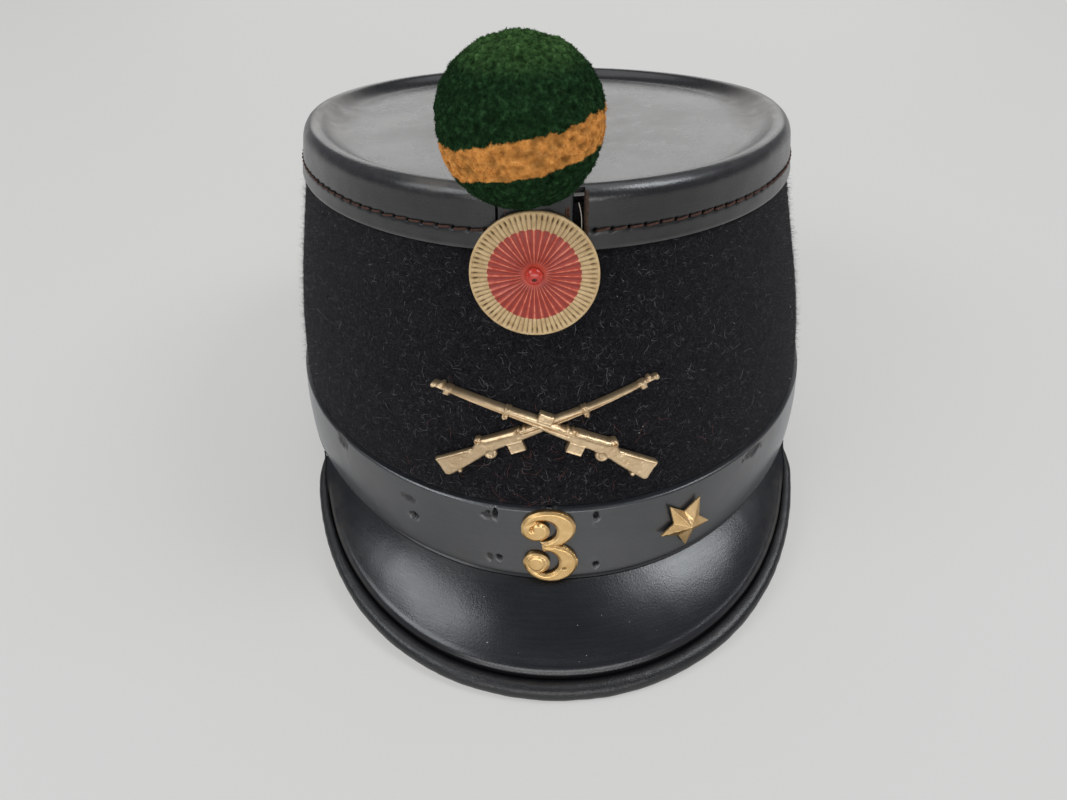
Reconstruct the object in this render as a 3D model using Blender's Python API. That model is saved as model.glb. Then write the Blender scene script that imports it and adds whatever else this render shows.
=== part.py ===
"""Peaked shako: felt crown, leather top, base band and peak, wool pompom, cockade and brass badges.

The hat frame has its origin in the middle of the base band's lower edge, +Z up the crown and -Y to the front.
An empty tips that frame back, so that the hat rests on its peak's bead and on the back of its band at z = 0.
Lengths are in metres, and the tables that say so are in millimetres.
"""
import math
from collections import namedtuple

import bmesh
import bpy
from mathutils import Matrix, Vector

MM = 0.001

# Crown: an oval that tapers from the head opening to the top.
BASE_HALF_WIDTH = 85.6 * MM
BASE_HALF_LENGTH = 100.8 * MM
CROWN_HEIGHT = 100.5 * MM
Side = namedtuple("Side", "top_half bulge bulge_drop")
LEFT = Side(top_half=72.5 * MM, bulge=4.8 * MM, bulge_drop=1.2 * MM)
RIGHT = Side(top_half=77.3 * MM, bulge=4.6 * MM, bulge_drop=2.1 * MM)
FRONT = Side(top_half=85.7 * MM, bulge=-3.0 * MM, bulge_drop=0.0)
REAR = Side(top_half=77.1 * MM, bulge=-3.0 * MM, bulge_drop=0.0)
BULGE_DROP_GAIN = 10.4
# how far behind the axis the oval is widest
WIDEST_BASE = 5.1 * MM
WIDEST_TOP = 9.3 * MM
# the peak's ends draw the base out sideways
BASE_FLARE = 2.9 * MM
FLARE_LEVEL = 0.25
FLARE_TURN = math.radians(75.0)
FLARE_POWER = 14
TOP_LEAN = math.radians(-2.9)
TOP_SHIFT = -3.6 * MM
OVAL_SKEW = math.radians(2.6)
FRONT_DIP = 5.1 * MM
FRONT_RISE = CROWN_HEIGHT + FRONT_DIP - BASE_HALF_LENGTH * TOP_LEAN
CROWN_TURNS = 60

FIT_GAP = 0.3 * MM
FELT_INNER = -3.0 * MM
BAND_LEVEL = 0.20
BAND_PROUD = 1.0 * MM
BAND_THICK = 2.0 * MM
SKIRT_LEVEL = 0.86
SKIRT_PROUD = 1.3 * MM
CAP_THICK = 1.6 * MM
RIM_RADIUS = 3.5 * MM
PLATE_SINK = 3.4 * MM
PLATE_SAG = 1.6 * MM
PLATE_INSET = 7.2 * MM

# Peak: a curved leather plate sewn under the front of the band, with a rolled bead along its free edge.
PEAK_LENGTH = 33.3 * MM
PEAK_SLOPE = math.radians(40.0)
PEAK_CAMBER = 1.8 * MM
PEAK_THICK = 2.4 * MM
PEAK_REACH = math.radians(64.0)
PEAK_END = math.radians(62.5)
PEAK_SKEW = math.radians(-1.3)
PEAK_SQUARENESS = 2.26
PEAK_LEAST = 0.4 * MM
PEAK_FLANGE = 3.0 * MM
PEAK_COLUMNS = 32
BEAD_RADIUS = 2.8 * MM
BEAD_TIP_RADIUS = 1.0 * MM
BEAD_STEPS = 44

# Front furniture, as distances across and up the crown's front from the middle of the base.
TAB_LEFT = -12.0 * MM
TAB_RIGHT = 5.8 * MM
NOTCH_LEFT = -12.4 * MM
NOTCH_RIGHT = 8.7 * MM
TAB_THICK = 1.0 * MM
STEM_RADIUS = 0.9 * MM
COCKADE_X = -3.3 * MM
COCKADE_UP = 90.5 * MM
COCKADE_RADIUS = 15.6 * MM
COCKADE_RED = 0.72
COCKADE_THICK = 0.9 * MM
COCKADE_RIM = 0.7 * MM
COCKADE_FLUTES = 36
FLUTE_DEPTH = 0.28 * MM
BOSS_RADIUS = 2.1 * MM
POMPOM_RADIUS = 18.1 * MM
POMPOM_TOP = 16.6 * MM
POMPOM_BOTTOM = 19.4 * MM
POMPOM_CENTRE = Vector((-5.86, -92.6, 122.85)) * MM
POMPOM_SQUARENESS = 2.2
LOCK_RISE = 0.7 * MM
STEM_TOP = 112.0 * MM
BADGE_X = -0.6 * MM
BADGE_UP = 47.9 * MM
BADGE_BEND = 0.6
NUMERAL_X = 0.3 * MM
NUMERAL_UP = 11.4 * MM
STAR_X = 39.6 * MM
STAR_UP = 11.2 * MM

# Rest pose: how high the hat's frame would stand on an unyielding edge, and how far the leather gives there.
REST_PITCH = math.radians(-7.145)
REST_HEIGHT = 12.60 * MM
REST_SQUASH = 1.0 * MM
REST_PLACE = Vector((-0.1 * MM, 14.2 * MM, REST_HEIGHT - REST_SQUASH))

MATERIALS = {
    # name: (colour, roughness, metallic)
    "felt": ((0.012, 0.012, 0.015), 0.95, 0.0),
    "leather": ((0.020, 0.023, 0.028), 0.42, 0.0),
    "peak_leather": ((0.014, 0.017, 0.021), 0.30, 0.0),
    "wool": ((0.020, 0.075, 0.028), 0.95, 0.0),
    "cockade_paint": ((0.62, 0.50, 0.29), 0.45, 0.0),
    "rivet_paint": ((0.55, 0.045, 0.03), 0.35, 0.0),
    "gilt": ((0.60, 0.46, 0.26), 0.42, 1.0),
    "brass": ((0.62, 0.40, 0.13), 0.35, 1.0),
    "steel": ((0.35, 0.34, 0.33), 0.45, 1.0),
}


def clear_scene():
    for old in list(bpy.data.objects):
        bpy.data.objects.remove(old, do_unlink=True)


def material(name):
    made = bpy.data.materials.get(name) or bpy.data.materials.new(name)
    made.use_nodes = True
    colour, roughness, metallic = MATERIALS[name]
    shader = made.node_tree.nodes["Principled BSDF"]
    shader.inputs["Base Color"].default_value = (*colour, 1.0)
    shader.inputs["Roughness"].default_value = roughness
    shader.inputs["Metallic"].default_value = metallic
    made.diffuse_color = (*colour, 1.0)
    return made


# ---------------------------------------------------------------------------------------------
# The crown's surface: turn runs round the oval from the front (0) to the right (positive), level runs up it.


def half_axis(side, base, level):
    swell = 4.0 * level * (1.0 - level)
    drop = BULGE_DROP_GAIN * level * (1.0 - level) * (1.0 - 2.0 * level)
    return base + (side.top_half - base) * level + side.bulge * swell + side.bulge_drop * drop


def crown_point(turn, level, proud=0.0, shrink=1.0):
    """Point of the crown, moved out by proud and drawn towards the axis by shrink."""
    across, along = math.sin(turn), -math.cos(turn)
    side = RIGHT if across >= 0.0 else LEFT
    end, forward = (FRONT, 1.0) if along < 0.0 else (REAR, -1.0)
    back = WIDEST_BASE + (WIDEST_TOP - WIDEST_BASE) * level
    toward = max(0.0, abs(across) * math.sin(FLARE_TURN) - along * math.cos(FLARE_TURN))
    flare = BASE_FLARE * max(0.0, 1.0 - level / FLARE_LEVEL) * toward**FLARE_POWER
    x = (half_axis(side, BASE_HALF_WIDTH, level) + flare + proud) * across * shrink
    y = (half_axis(end, BASE_HALF_LENGTH, level) + forward * back + proud) * along * shrink + back
    z = -FRONT_DIP * (1.0 - level) * along * along if along < 0.0 else 0.0
    leaned = Matrix.Rotation(TOP_LEAN * level, 3, "X") @ Vector((x, y, z))
    turned = Matrix.Rotation(OVAL_SKEW, 3, "Z") @ leaned
    return turned + Vector((TOP_SHIFT * level, 0.0, CROWN_HEIGHT * level))


def oval_normal(turn):
    """Level direction straight out of the base oval."""
    out = Vector((math.sin(turn) / BASE_HALF_WIDTH, -math.cos(turn) / BASE_HALF_LENGTH, 0.0)).normalized()
    return Matrix.Rotation(OVAL_SKEW, 3, "Z") @ out


def turn_at(x, level, proud=0.0):
    """Turn of the point on the crown's front that lies x from the middle."""
    turn = 0.0
    for _ in range(8):
        step = 1e-4
        here = crown_point(turn, level, proud).x
        slope = (crown_point(turn + step, level, proud).x - here) / step
        turn += (x - here) / slope
    return turn


def front_point(x, up, proud=0.0):
    """Point x across and up from the base on the crown's front."""
    level = up / FRONT_RISE
    return crown_point(turn_at(x, level, proud), level, proud)


def front_frame(x, up, proud=0.0):
    """Matrix whose X runs across the crown's front, Y up it, and Z straight out of it."""
    step = 0.5 * MM
    across = (front_point(x + step, up, proud) - front_point(x - step, up, proud)).normalized()
    rise = (front_point(x, up + step, proud) - front_point(x, up - step, proud)).normalized()
    out = across.cross(rise).normalized()
    rise = out.cross(across)
    frame = Matrix((across, rise, out)).transposed().to_4x4()
    frame.translation = front_point(x, up, proud)
    return frame


# ---------------------------------------------------------------------------------------------
# Meshes.


def finish_mesh(name, verts, faces, slot, smooth_below=40.0):
    """Object of a closed mesh with outward faces, made of triangles and quads."""
    mesh = bpy.data.meshes.new(name)
    mesh.from_pydata([tuple(v) for v in verts], [], faces)
    work = bmesh.new()
    work.from_mesh(mesh)
    bmesh.ops.recalc_face_normals(work, faces=work.faces)
    work.to_mesh(mesh)
    work.free()
    return add_object(name, mesh, slot, smooth_below)


def add_object(name, mesh, slot, smooth_below=40.0):
    obj = bpy.data.objects.new(name, mesh)
    bpy.context.collection.objects.link(obj)
    mesh.materials.clear()
    mesh.materials.append(material(slot))
    mesh.shade_smooth()
    mesh.set_sharp_from_angle(angle=math.radians(smooth_below))
    return obj


def grid_faces(rows, columns, wrap_rows, wrap_columns):
    faces = []
    for r in range(rows if wrap_rows else rows - 1):
        for c in range(columns if wrap_columns else columns - 1):
            r2, c2 = (r + 1) % rows, (c + 1) % columns
            faces.append((r * columns + c, r * columns + c2, r2 * columns + c2, r2 * columns + c))
    return faces


def closed_hoop(name, profile, slot, turns=CROWN_TURNS):
    """Hoop round the crown: profile is a closed list of (level, proud)."""
    verts = []
    for level, proud in profile:
        for c in range(turns):
            verts.append(crown_point(2.0 * math.pi * c / turns, level, proud))
    return finish_mesh(name, verts, grid_faces(len(profile), turns, True, True), slot)


def prism(rings):
    """Vertices and faces of a body lofted through rings of equal length, capped at both ends."""
    count = len(rings[0])
    verts = [point for ring in rings for point in ring]
    faces = grid_faces(len(rings), count, False, True)
    faces.append(tuple(range(count)))
    faces.append(tuple(range(len(verts) - count, len(verts)))[::-1])
    return verts, faces


def union(name, parts, slot):
    """One body from overlapping closed ones, given as (verts, faces)."""
    pieces = [finish_mesh(f"{name}_{n}", verts, faces, slot) for n, (verts, faces) in enumerate(parts)]
    base = pieces[0]
    for piece in pieces[1:]:
        join = base.modifiers.new("join", "BOOLEAN")
        join.operation = "UNION"
        join.solver = "EXACT"
        join.object = piece
    mesh = evaluated_mesh(base)
    for piece in pieces:
        bpy.data.objects.remove(piece, do_unlink=True)
    mesh.name = name
    return add_object(name, mesh, slot)


def evaluated_mesh(obj):
    graph = bpy.context.evaluated_depsgraph_get()
    graph.update()
    return bpy.data.meshes.new_from_object(obj.evaluated_get(graph))


def slice_and_bend(obj, bend, spacing, half_span):
    """Cuts a flat body across X every spacing, then moves its vertices by bend."""
    work = bmesh.new()
    work.from_mesh(obj.data)
    across = (1.0, 0.0, 0.0)
    cut = -half_span
    while cut <= half_span:
        whole = work.verts[:] + work.edges[:] + work.faces[:]
        bmesh.ops.bisect_plane(work, geom=whole, plane_co=(cut, 0.0, 0.0), plane_no=across, dist=1e-6)
        cut += spacing
    bmesh.ops.remove_doubles(work, verts=work.verts, dist=0.00002)
    bmesh.ops.triangulate(work, faces=work.faces)
    for vert in work.verts:
        vert.co = bend(vert.co)
    work.to_mesh(obj.data)
    work.free()


# ---------------------------------------------------------------------------------------------
# Crown, top, band.


def crown_felt():
    under_band = BAND_PROUD - BAND_THICK - FIT_GAP
    under_skirt = SKIRT_PROUD - CAP_THICK - FIT_GAP
    gap = FIT_GAP / CROWN_HEIGHT
    top = 1.0 - (RIM_RADIUS + 0.5 * MM) / CROWN_HEIGHT
    outer = [
        (gap, under_band),
        (BAND_LEVEL, under_band),
        (BAND_LEVEL + 1.2 * gap, -0.1 * MM),
        (0.27, 0.0),
        (0.38, 0.0),
        (0.50, 0.0),
        (0.62, 0.0),
        (0.74, 0.0),
        (SKIRT_LEVEL - 1.2 * gap, -0.1 * MM),
        (SKIRT_LEVEL, under_skirt),
        (top, under_skirt),
    ]
    inner = [(level, FELT_INNER) for level in (top, 0.74, 0.50, 0.27, gap)]
    return closed_hoop("crown_felt", outer + inner, "felt")


def rim_arc(radius, start, end, steps):
    """(rise, inset) points of the rolled rim, from start to end degrees, 180 being its outer side."""
    middle = RIM_RADIUS - SKIRT_PROUD
    points = []
    for n in range(steps + 1):
        angle = math.radians(start + (end - start) * n / steps)
        points.append((-RIM_RADIUS + radius * math.sin(angle), middle + radius * math.cos(angle)))
    return points


# share of the plate's sag, and share of its distance from the middle
Dish = namedtuple("Dish", "fall shrink")
PLATE_DISH = [Dish(0.0, 1.0), Dish(0.35, 0.80), Dish(0.80, 0.45)]


def top_cap():
    """Leather skirt, rolled rim and sunk plate in one sheet."""
    plate = 1.0 - PLATE_SINK / CROWN_HEIGHT
    sag = PLATE_SAG / CROWN_HEIGHT
    thick = CAP_THICK / CROWN_HEIGHT
    plate_rows = [(plate - fall * sag, -PLATE_INSET, shrink) for fall, shrink in PLATE_DISH]
    outer = [(SKIRT_LEVEL, SKIRT_PROUD, 1.0), (SKIRT_LEVEL + 0.05, SKIRT_PROUD, 1.0)]
    outer += [(1.0 + rise / CROWN_HEIGHT, -inset, 1.0) for rise, inset in rim_arc(RIM_RADIUS, 180.0, 25.0, 5)]
    outer += plate_rows
    inner = [(level - thick, proud, shrink) for level, proud, shrink in plate_rows[::-1]]
    inner += [
        (1.0 + rise / CROWN_HEIGHT, -inset, 1.0)
        for rise, inset in rim_arc(RIM_RADIUS - CAP_THICK, 0.0, 180.0, 4)
    ]
    inner += [(SKIRT_LEVEL, SKIRT_PROUD - CAP_THICK, 1.0)]
    verts = []
    for level, proud, shrink in outer + inner:
        for c in range(CROWN_TURNS):
            verts.append(crown_point(2.0 * math.pi * c / CROWN_TURNS, level, proud, shrink))
    faces = grid_faces(len(outer), CROWN_TURNS, False, True)
    first = len(outer) * CROWN_TURNS
    faces += [tuple(first + i for i in face) for face in grid_faces(len(inner), CROWN_TURNS, False, True)]
    last_row = (len(outer) + len(inner) - 1) * CROWN_TURNS
    for c in range(CROWN_TURNS):
        c2 = (c + 1) % CROWN_TURNS
        faces.append((c, c2, last_row + c2, last_row + c))
    for row, level in ((len(outer) - 1, plate - sag), (len(outer), plate - sag - thick)):
        verts.append(crown_point(0.0, level, 0.0, 0.0))
        centre = len(verts) - 1
        for c in range(CROWN_TURNS):
            faces.append((row * CROWN_TURNS + c, row * CROWN_TURNS + (c + 1) % CROWN_TURNS, centre))
    cap = finish_mesh("top_cap", verts, faces, "leather")
    cut = cap.modifiers.new("notch", "BOOLEAN")
    cut.operation = "DIFFERENCE"
    cut.solver = "EXACT"
    cut.object = notch_cutter()
    return cap


def notch_cutter():
    """Clears the skirt at the front, where the pompom's tab sits."""
    floor = SKIRT_PROUD - CAP_THICK - 0.15 * MM
    rings = []
    for n in range(6):
        x = NOTCH_LEFT + (NOTCH_RIGHT - NOTCH_LEFT) * n / 5
        rings.append([
            front_point(x, level * FRONT_RISE, proud)
            for level, proud in (
                (SKIRT_LEVEL - 0.02, floor),
                (SKIRT_LEVEL - 0.02, floor + 5.0 * MM),
                (1.04, floor + 5.0 * MM),
                (1.04, floor),
            )
        ])
    cutter = finish_mesh("notch_cutter", *prism(rings), "leather")
    cutter.hide_render = True
    cutter.display_type = "WIRE"
    return cutter


def base_band():
    """Leather band with the empty holes of earlier badges."""
    inner = BAND_PROUD - BAND_THICK
    round_off = 0.5 * MM
    soft = round_off / CROWN_HEIGHT
    profile = [
        (0.0, BAND_PROUD - round_off),
        (soft, BAND_PROUD),
        (0.10, BAND_PROUD),
        (BAND_LEVEL - soft, BAND_PROUD),
        (BAND_LEVEL, BAND_PROUD - round_off),
        (BAND_LEVEL, inner),
        (0.10, inner),
        (0.0, inner),
    ]
    band = closed_hoop("base_band", profile, "leather")
    cut = band.modifiers.new("holes", "BOOLEAN")
    cut.operation = "DIFFERENCE"
    cut.solver = "EXACT"
    cut.object = hole_cutter()
    return band


# x across and up from the base, and radius, in millimetres
Hole = namedtuple("Hole", "x up radius")
BAND_HOLES = [
    Hole(-14.9, 19.5, 0.75),
    Hole(-17.0, 19.2, 0.45),
    Hole(-14.1, 5.0, 0.70),
    Hole(13.4, 18.9, 0.75),
    Hole(13.7, 3.5, 0.65),
    Hole(-39.7, 10.0, 0.70),
]


def hole_cutter():
    verts, faces = [], []
    for hole in BAND_HOLES:
        frame = front_frame(hole.x * MM, hole.up * MM)
        rings = []
        for depth in (-2.2 * MM, 2.2 * MM):
            rings.append([
                frame @ Vector((hole.radius * MM * math.cos(a), hole.radius * MM * math.sin(a), depth))
                for a in (2.0 * math.pi * k / 8 for k in range(8))
            ])
        more_verts, more_faces = prism(rings)
        faces += [tuple(len(verts) + i for i in face) for face in more_faces]
        verts += more_verts
    cutter = finish_mesh("hole_cutter", verts, faces, "leather")
    cutter.hide_render = True
    cutter.display_type = "WIRE"
    return cutter


# ---------------------------------------------------------------------------------------------
# Peak.


def peak_share(turn):
    """0 where the peak is longest, 1 where its edge would meet the band."""
    skewed = turn - PEAK_SKEW * (1.0 - (turn / PEAK_REACH) ** 2)
    return min(abs(skewed) / PEAK_REACH, 1.0)


def peak_length(turn):
    return PEAK_LENGTH * (1.0 - peak_share(turn) ** PEAK_SQUARENESS)


def bead_radius(turn):
    return BEAD_TIP_RADIUS + (BEAD_RADIUS - BEAD_TIP_RADIUS) * (1.0 - peak_share(turn) ** 3)


def plate_edge(turn):
    """How far out the plate reaches before its bead."""
    return max(peak_length(turn) - 2.0 * bead_radius(turn) - FIT_GAP, PEAK_LEAST)


def peak_point(turn, out, rise=0.0):
    """Point of the peak's upper surface, out along the slope from the band, lifted by rise square to it."""
    root = crown_point(turn, 0.0, 0.6 * MM) - Vector((0.0, 0.0, FIT_GAP))
    normal = oval_normal(turn)
    length = max(peak_length(turn), 1.0 * MM)
    share = out / length
    camber = PEAK_CAMBER * (length / PEAK_LENGTH) * 4.0 * share * (1.0 - share)
    along = normal * math.cos(PEAK_SLOPE) - Vector((0.0, 0.0, math.sin(PEAK_SLOPE)))
    square = normal * math.sin(PEAK_SLOPE) + Vector((0.0, 0.0, math.cos(PEAK_SLOPE)))
    return root + along * out + square * (camber + rise)


def peak():
    rings = []
    for n in range(PEAK_COLUMNS + 1):
        turn = PEAK_END * (2.0 * n / PEAK_COLUMNS - 1.0)
        edge = plate_edge(turn)
        inside = crown_point(turn, 0.0, -PEAK_FLANGE) - Vector((0.0, 0.0, FIT_GAP))
        below = Vector((0.0, 0.0, PEAK_THICK))
        knee = crown_point(turn, 0.0, -0.5 * MM) - below * 1.1
        shares = (0.0, 0.33, 0.67, 1.0)
        upper = [peak_point(turn, edge * share) for share in shares]
        lower = [peak_point(turn, edge * share, -PEAK_THICK) for share in shares[::-1]]
        rings.append([inside, *upper, *lower[:-1], knee, inside - below])
    return finish_mesh("peak", *prism(rings), "peak_leather", 50.0)


def bead_centre(turn):
    """Middle of the bead, which lies against the plate's edge and lifts to the band at its ends."""
    drop = 0.5 * PEAK_THICK * (1.0 - peak_share(turn) ** 6)
    return peak_point(turn, plate_edge(turn) + FIT_GAP + bead_radius(turn), -drop)


def peak_bead():
    sides = 8
    rings = []
    for n in range(BEAD_STEPS + 1):
        turn = PEAK_END * (2.0 * n / BEAD_STEPS - 1.0)
        here = bead_centre(turn)
        ahead = (bead_centre(turn + 0.01) - bead_centre(turn - 0.01)).normalized()
        outward = (here - peak_point(turn, 0.0)).normalized()
        outward = (outward - ahead * outward.dot(ahead)).normalized()
        up = outward.cross(ahead)
        radius = bead_radius(turn)
        rings.append([
            here + (outward * math.cos(a) + up * math.sin(a)) * radius
            for a in (2.0 * math.pi * (k + 0.5) / sides for k in range(sides))
        ])
    return finish_mesh("peak_bead", *prism(rings), "peak_leather", 60.0)


# ---------------------------------------------------------------------------------------------
# Pompom, its tab and its stem.


def pompom_tab():
    """Leather pocket sewn into the notch, arched over the stem."""
    seat = SKIRT_PROUD - CAP_THICK
    arch = 2.0 * STEM_RADIUS + FIT_GAP
    steps = 10
    rings = []
    for level, lift in ((SKIRT_LEVEL, 0.0), (0.90, 0.0), (0.94, 0.05 * MM), (0.975, 0.15 * MM)):
        ring = []
        for side in (1, -1):
            for n in range(steps + 1)[::side]:
                x = TAB_LEFT + (TAB_RIGHT - TAB_LEFT) * n / steps
                hump = arch * math.sin(math.pi * n / steps) ** 2
                layer = TAB_THICK if side == 1 else 0.0
                ring.append(front_point(x, level * FRONT_RISE, seat + hump + layer + lift))
        rings.append(ring)
    return finish_mesh("pompom_tab", *prism(rings), "leather")


def pompom_profile():
    """(radius, height) pairs of the pompom between its two poles."""
    points = []
    steps = 17
    for n in range(1, steps):
        angle = math.pi * n / steps
        radius, height = math.sin(angle), math.cos(angle)
        power = 2.0 if height > 0.0 else POMPOM_SQUARENESS
        swell = (radius**power + abs(height) ** power) ** (-1.0 / power)
        reach = POMPOM_TOP if height > 0.0 else POMPOM_BOTTOM
        points.append((POMPOM_RADIUS * radius * swell, reach * height * swell))
    return points


def pompom():
    """Clipped wool head whose surface stands out in staggered locks."""
    columns = 34
    crest = Vector((0.0, 0.0, POMPOM_TOP))
    foot = Vector((0.0, 0.0, -POMPOM_BOTTOM))
    verts = [POMPOM_CENTRE + crest, POMPOM_CENTRE + foot]
    rows = pompom_profile()
    for r, (radius, height) in enumerate(rows):
        fade = min(1.0, 1.5 * radius / POMPOM_RADIUS)
        for c in range(columns):
            lock = (c + r) % 2 - 0.5
            reach = radius + LOCK_RISE * lock * fade
            angle = 2.0 * math.pi * c / columns
            verts.append(POMPOM_CENTRE + Vector((reach * math.cos(angle), reach * math.sin(angle), height)))
    faces = [tuple(2 + i for i in face) for face in grid_faces(len(rows), columns, False, True)]
    last = 2 + (len(rows) - 1) * columns
    for c in range(columns):
        c2 = (c + 1) % columns
        faces.append((0, 2 + c, 2 + c2))
        faces.append((1, last + c2, last + c))
    head = finish_mesh("pompom", verts, faces, "wool")
    cut = head.modifiers.new("stem_hole", "BOOLEAN")
    cut.operation = "DIFFERENCE"
    cut.solver = "EXACT"
    cut.object = stem_tube("stem_cutter", STEM_RADIUS + FIT_GAP, STEM_TOP + 2.0 * FIT_GAP)
    cut.object.hide_render = True
    cut.object.display_type = "WIRE"
    return head


def stem_tube(name, radius, top):
    """Straight pin that stands behind the tab, up to the height top."""
    seat = SKIRT_PROUD - CAP_THICK + 0.5 * FIT_GAP + STEM_RADIUS
    x = 0.5 * (TAB_LEFT + TAB_RIGHT)
    low = front_point(x, 0.875 * FRONT_RISE, seat)
    line = front_point(x, 0.965 * FRONT_RISE, seat) - low
    tip = low + line * ((top - low.z) / line.z)
    rings = []
    for point in (low, tip):
        rings.append([
            point + Vector((math.cos(a), math.sin(a), 0.0)) * radius
            for a in (2.0 * math.pi * k / 8 for k in range(8))
        ])
    return finish_mesh(name, *prism(rings), "steel")


def pompom_stem():
    return stem_tube("pompom_stem", STEM_RADIUS, STEM_TOP)


# ---------------------------------------------------------------------------------------------
# Cockade.

COCKADE_PROUD = SKIRT_PROUD - CAP_THICK + 2.0 * STEM_RADIUS + FIT_GAP + TAB_THICK + FIT_GAP


def cockade_frame():
    """Frame of the disc's back, upright against the tab."""
    return front_frame(COCKADE_X, COCKADE_UP, COCKADE_PROUD)


def cockade():
    """Pressed disc with radial flutes and a hole for its rivet."""
    frame = cockade_frame()
    columns = COCKADE_FLUTES * 2
    hole = 0.9 * MM + FIT_GAP
    crest = COCKADE_THICK + FLUTE_DEPTH
    rings = [
        (hole, 0.0, 0.0),
        (hole, COCKADE_THICK, 0.0),
        (BOSS_RADIUS + 0.6 * MM, COCKADE_THICK, 0.0),
        (COCKADE_RADIUS * 0.45, crest, 1.0),
        (COCKADE_RADIUS * COCKADE_RED, crest, 1.0),
        (COCKADE_RADIUS - COCKADE_RIM, COCKADE_THICK, 0.6),
        (COCKADE_RADIUS, COCKADE_THICK * 0.8, 0.0),
        (COCKADE_RADIUS, 0.0, 0.0),
    ]
    verts = []
    for radius, height, flute in rings:
        for c in range(columns):
            angle = 2.0 * math.pi * c / columns
            lift = height + FLUTE_DEPTH * flute * (1 if c % 2 else -1)
            verts.append(frame @ Vector((radius * math.cos(angle), radius * math.sin(angle), lift)))
    return finish_mesh("cockade", verts, grid_faces(len(rings), columns, True, True), "cockade_paint", 20.0)


def cockade_rivet():
    """Domed boss with a shank that reaches back to the felt."""
    frame = cockade_frame()
    sides = 12
    face = COCKADE_THICK + FIT_GAP
    shank = 0.9 * MM
    profile = [
        (shank, FIT_GAP - COCKADE_PROUD),
        (shank, face),
        (BOSS_RADIUS, face),
        (BOSS_RADIUS, face + 0.3 * MM),
        (BOSS_RADIUS * 0.8, face + 1.0 * MM),
        (BOSS_RADIUS * 0.35, face + 1.45 * MM),
    ]
    rings = []
    for radius, height in profile:
        rings.append([
            frame @ Vector((radius * math.cos(a), radius * math.sin(a), height))
            for a in (2.0 * math.pi * k / sides for k in range(sides))
        ])
    return finish_mesh("cockade_rivet", *prism(rings), "rivet_paint")


# ---------------------------------------------------------------------------------------------
# Crossed rifles: outlines in millimetres, along the barrel from the crossing and up from the barrel's axis.

RIFLE_OUTLINE = [
    (30.6, 0.7), (26.5, 0.95), (21.0, 1.1), (13.0, 1.25), (4.8, 1.6), (-8.5, 1.6), (-19.0, 1.6),
    (-21.5, -0.5), (-24.5, -0.55), (-32.3, -1.2), (-31.7, -6.6), (-31.0, -7.2), (-23.0, -4.7),
    (-19.7, -3.6), (-14.3, -2.5), (-4.2, -1.75), (4.6, -0.95), (14.5, -0.8), (21.0, -0.7), (30.6, -0.5),
]
RIFLE_BARREL = [(30.2, 0.85), (21.0, 1.0), (4.6, 1.45), (-7.4, 1.5), (-7.4, 0.1), (21.0, 0.05), (30.2, -0.05)]
BARREL_THICK = 1.9
Block = namedtuple("Block", "start end low high thick")
RIFLE_BLOCKS = [
    Block(-18.0, -7.8, 0.3, 1.85, 2.2),    # receiver
    Block(10.3, 11.9, -1.2, 1.7, 2.15),    # barrel band
    Block(25.6, 28.0, -1.1, 1.3, 2.15),    # nose cap
    Block(-1.0, 2.4, 0.9, 3.7, 2.6),       # rear sight
    Block(-12.1, -7.5, -5.1, -1.8, 1.3),   # magazine
]
Stud = namedtuple("Stud", "along up radius thick")
RIFLE_STUDS = [
    Stud(-18.8, 1.45, 1.05, 2.0),          # bolt handle
    Stud(-17.4, -3.2, 1.85, 1.2),          # trigger guard
    Stud(11.15, -1.65, 0.55, 1.4),         # sling swivel
    Stud(28.7, 1.0, 0.6, 1.6),             # front sight
    Stud(-27.4, -6.3, 0.6, 1.2),           # butt swivel
]
RIFLE_THICK = 1.3
RIFLE_TILT = math.radians(-21.5)
RIFLE_OVERLAP = 0.8
RIFLE_BOW_LENGTH = 30.0
UPPER_BOW = -0.9
LOWER_BOW = 1.1


def rifle_solids(mirror, lift, bow):
    """Closed solids of one rifle, flat, in metres; mirror turns it round and bow bends its muzzle up."""

    def place(along, up, out):
        x, y = -along, up + bow * (max(0.0, along) / RIFLE_BOW_LENGTH) ** 2
        turned = (
            x * math.cos(RIFLE_TILT) - y * math.sin(RIFLE_TILT),
            x * math.sin(RIFLE_TILT) + y * math.cos(RIFLE_TILT),
        )
        return Vector((turned[0] * mirror, turned[1], out)) * MM

    def slab(outline, thick):
        return prism([[place(a, b, out) for a, b in outline] for out in (0.0, thick + lift)])

    solids = [slab(RIFLE_OUTLINE, RIFLE_THICK), slab(RIFLE_BARREL, BARREL_THICK)]
    for block in RIFLE_BLOCKS:
        lower = [(block.start, block.low), (block.end, block.low)]
        upper = [(block.end, block.high), (block.start, block.high)]
        solids.append(slab(lower + upper, block.thick))
    for stud in RIFLE_STUDS:
        circle = [
            (stud.along + stud.radius * math.cos(a), stud.up + stud.radius * math.sin(a))
            for a in (2.0 * math.pi * (k + 0.25) / 7 for k in range(7))
        ]
        solids.append(slab(circle, stud.thick))
    return solids


def bend_to_front(x, up, seat, share=1.0):
    """Function that lays flat coordinates on the crown's front, following its curve by share."""

    def bend(co):
        level = (up + co.y) / FRONT_RISE
        turn = turn_at(x + co.x, level)
        radius = BASE_HALF_WIDTH**2 / (BASE_HALF_LENGTH + WIDEST_BASE)
        relief = (1.0 - share) * co.x**2 / (2.0 * radius)
        return crown_point(turn, level) + oval_normal(turn) * (seat + relief + co.z)

    return bend


def rifles_badge():
    upper = rifle_solids(1, RIFLE_OVERLAP, UPPER_BOW)
    lower = rifle_solids(-1, 0.0, LOWER_BOW)
    badge = union("rifles_badge", upper + lower, "gilt")
    slice_and_bend(badge, bend_to_front(BADGE_X, BADGE_UP, FIT_GAP, BADGE_BEND), 10.0 * MM, 25.0 * MM)
    return badge


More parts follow.
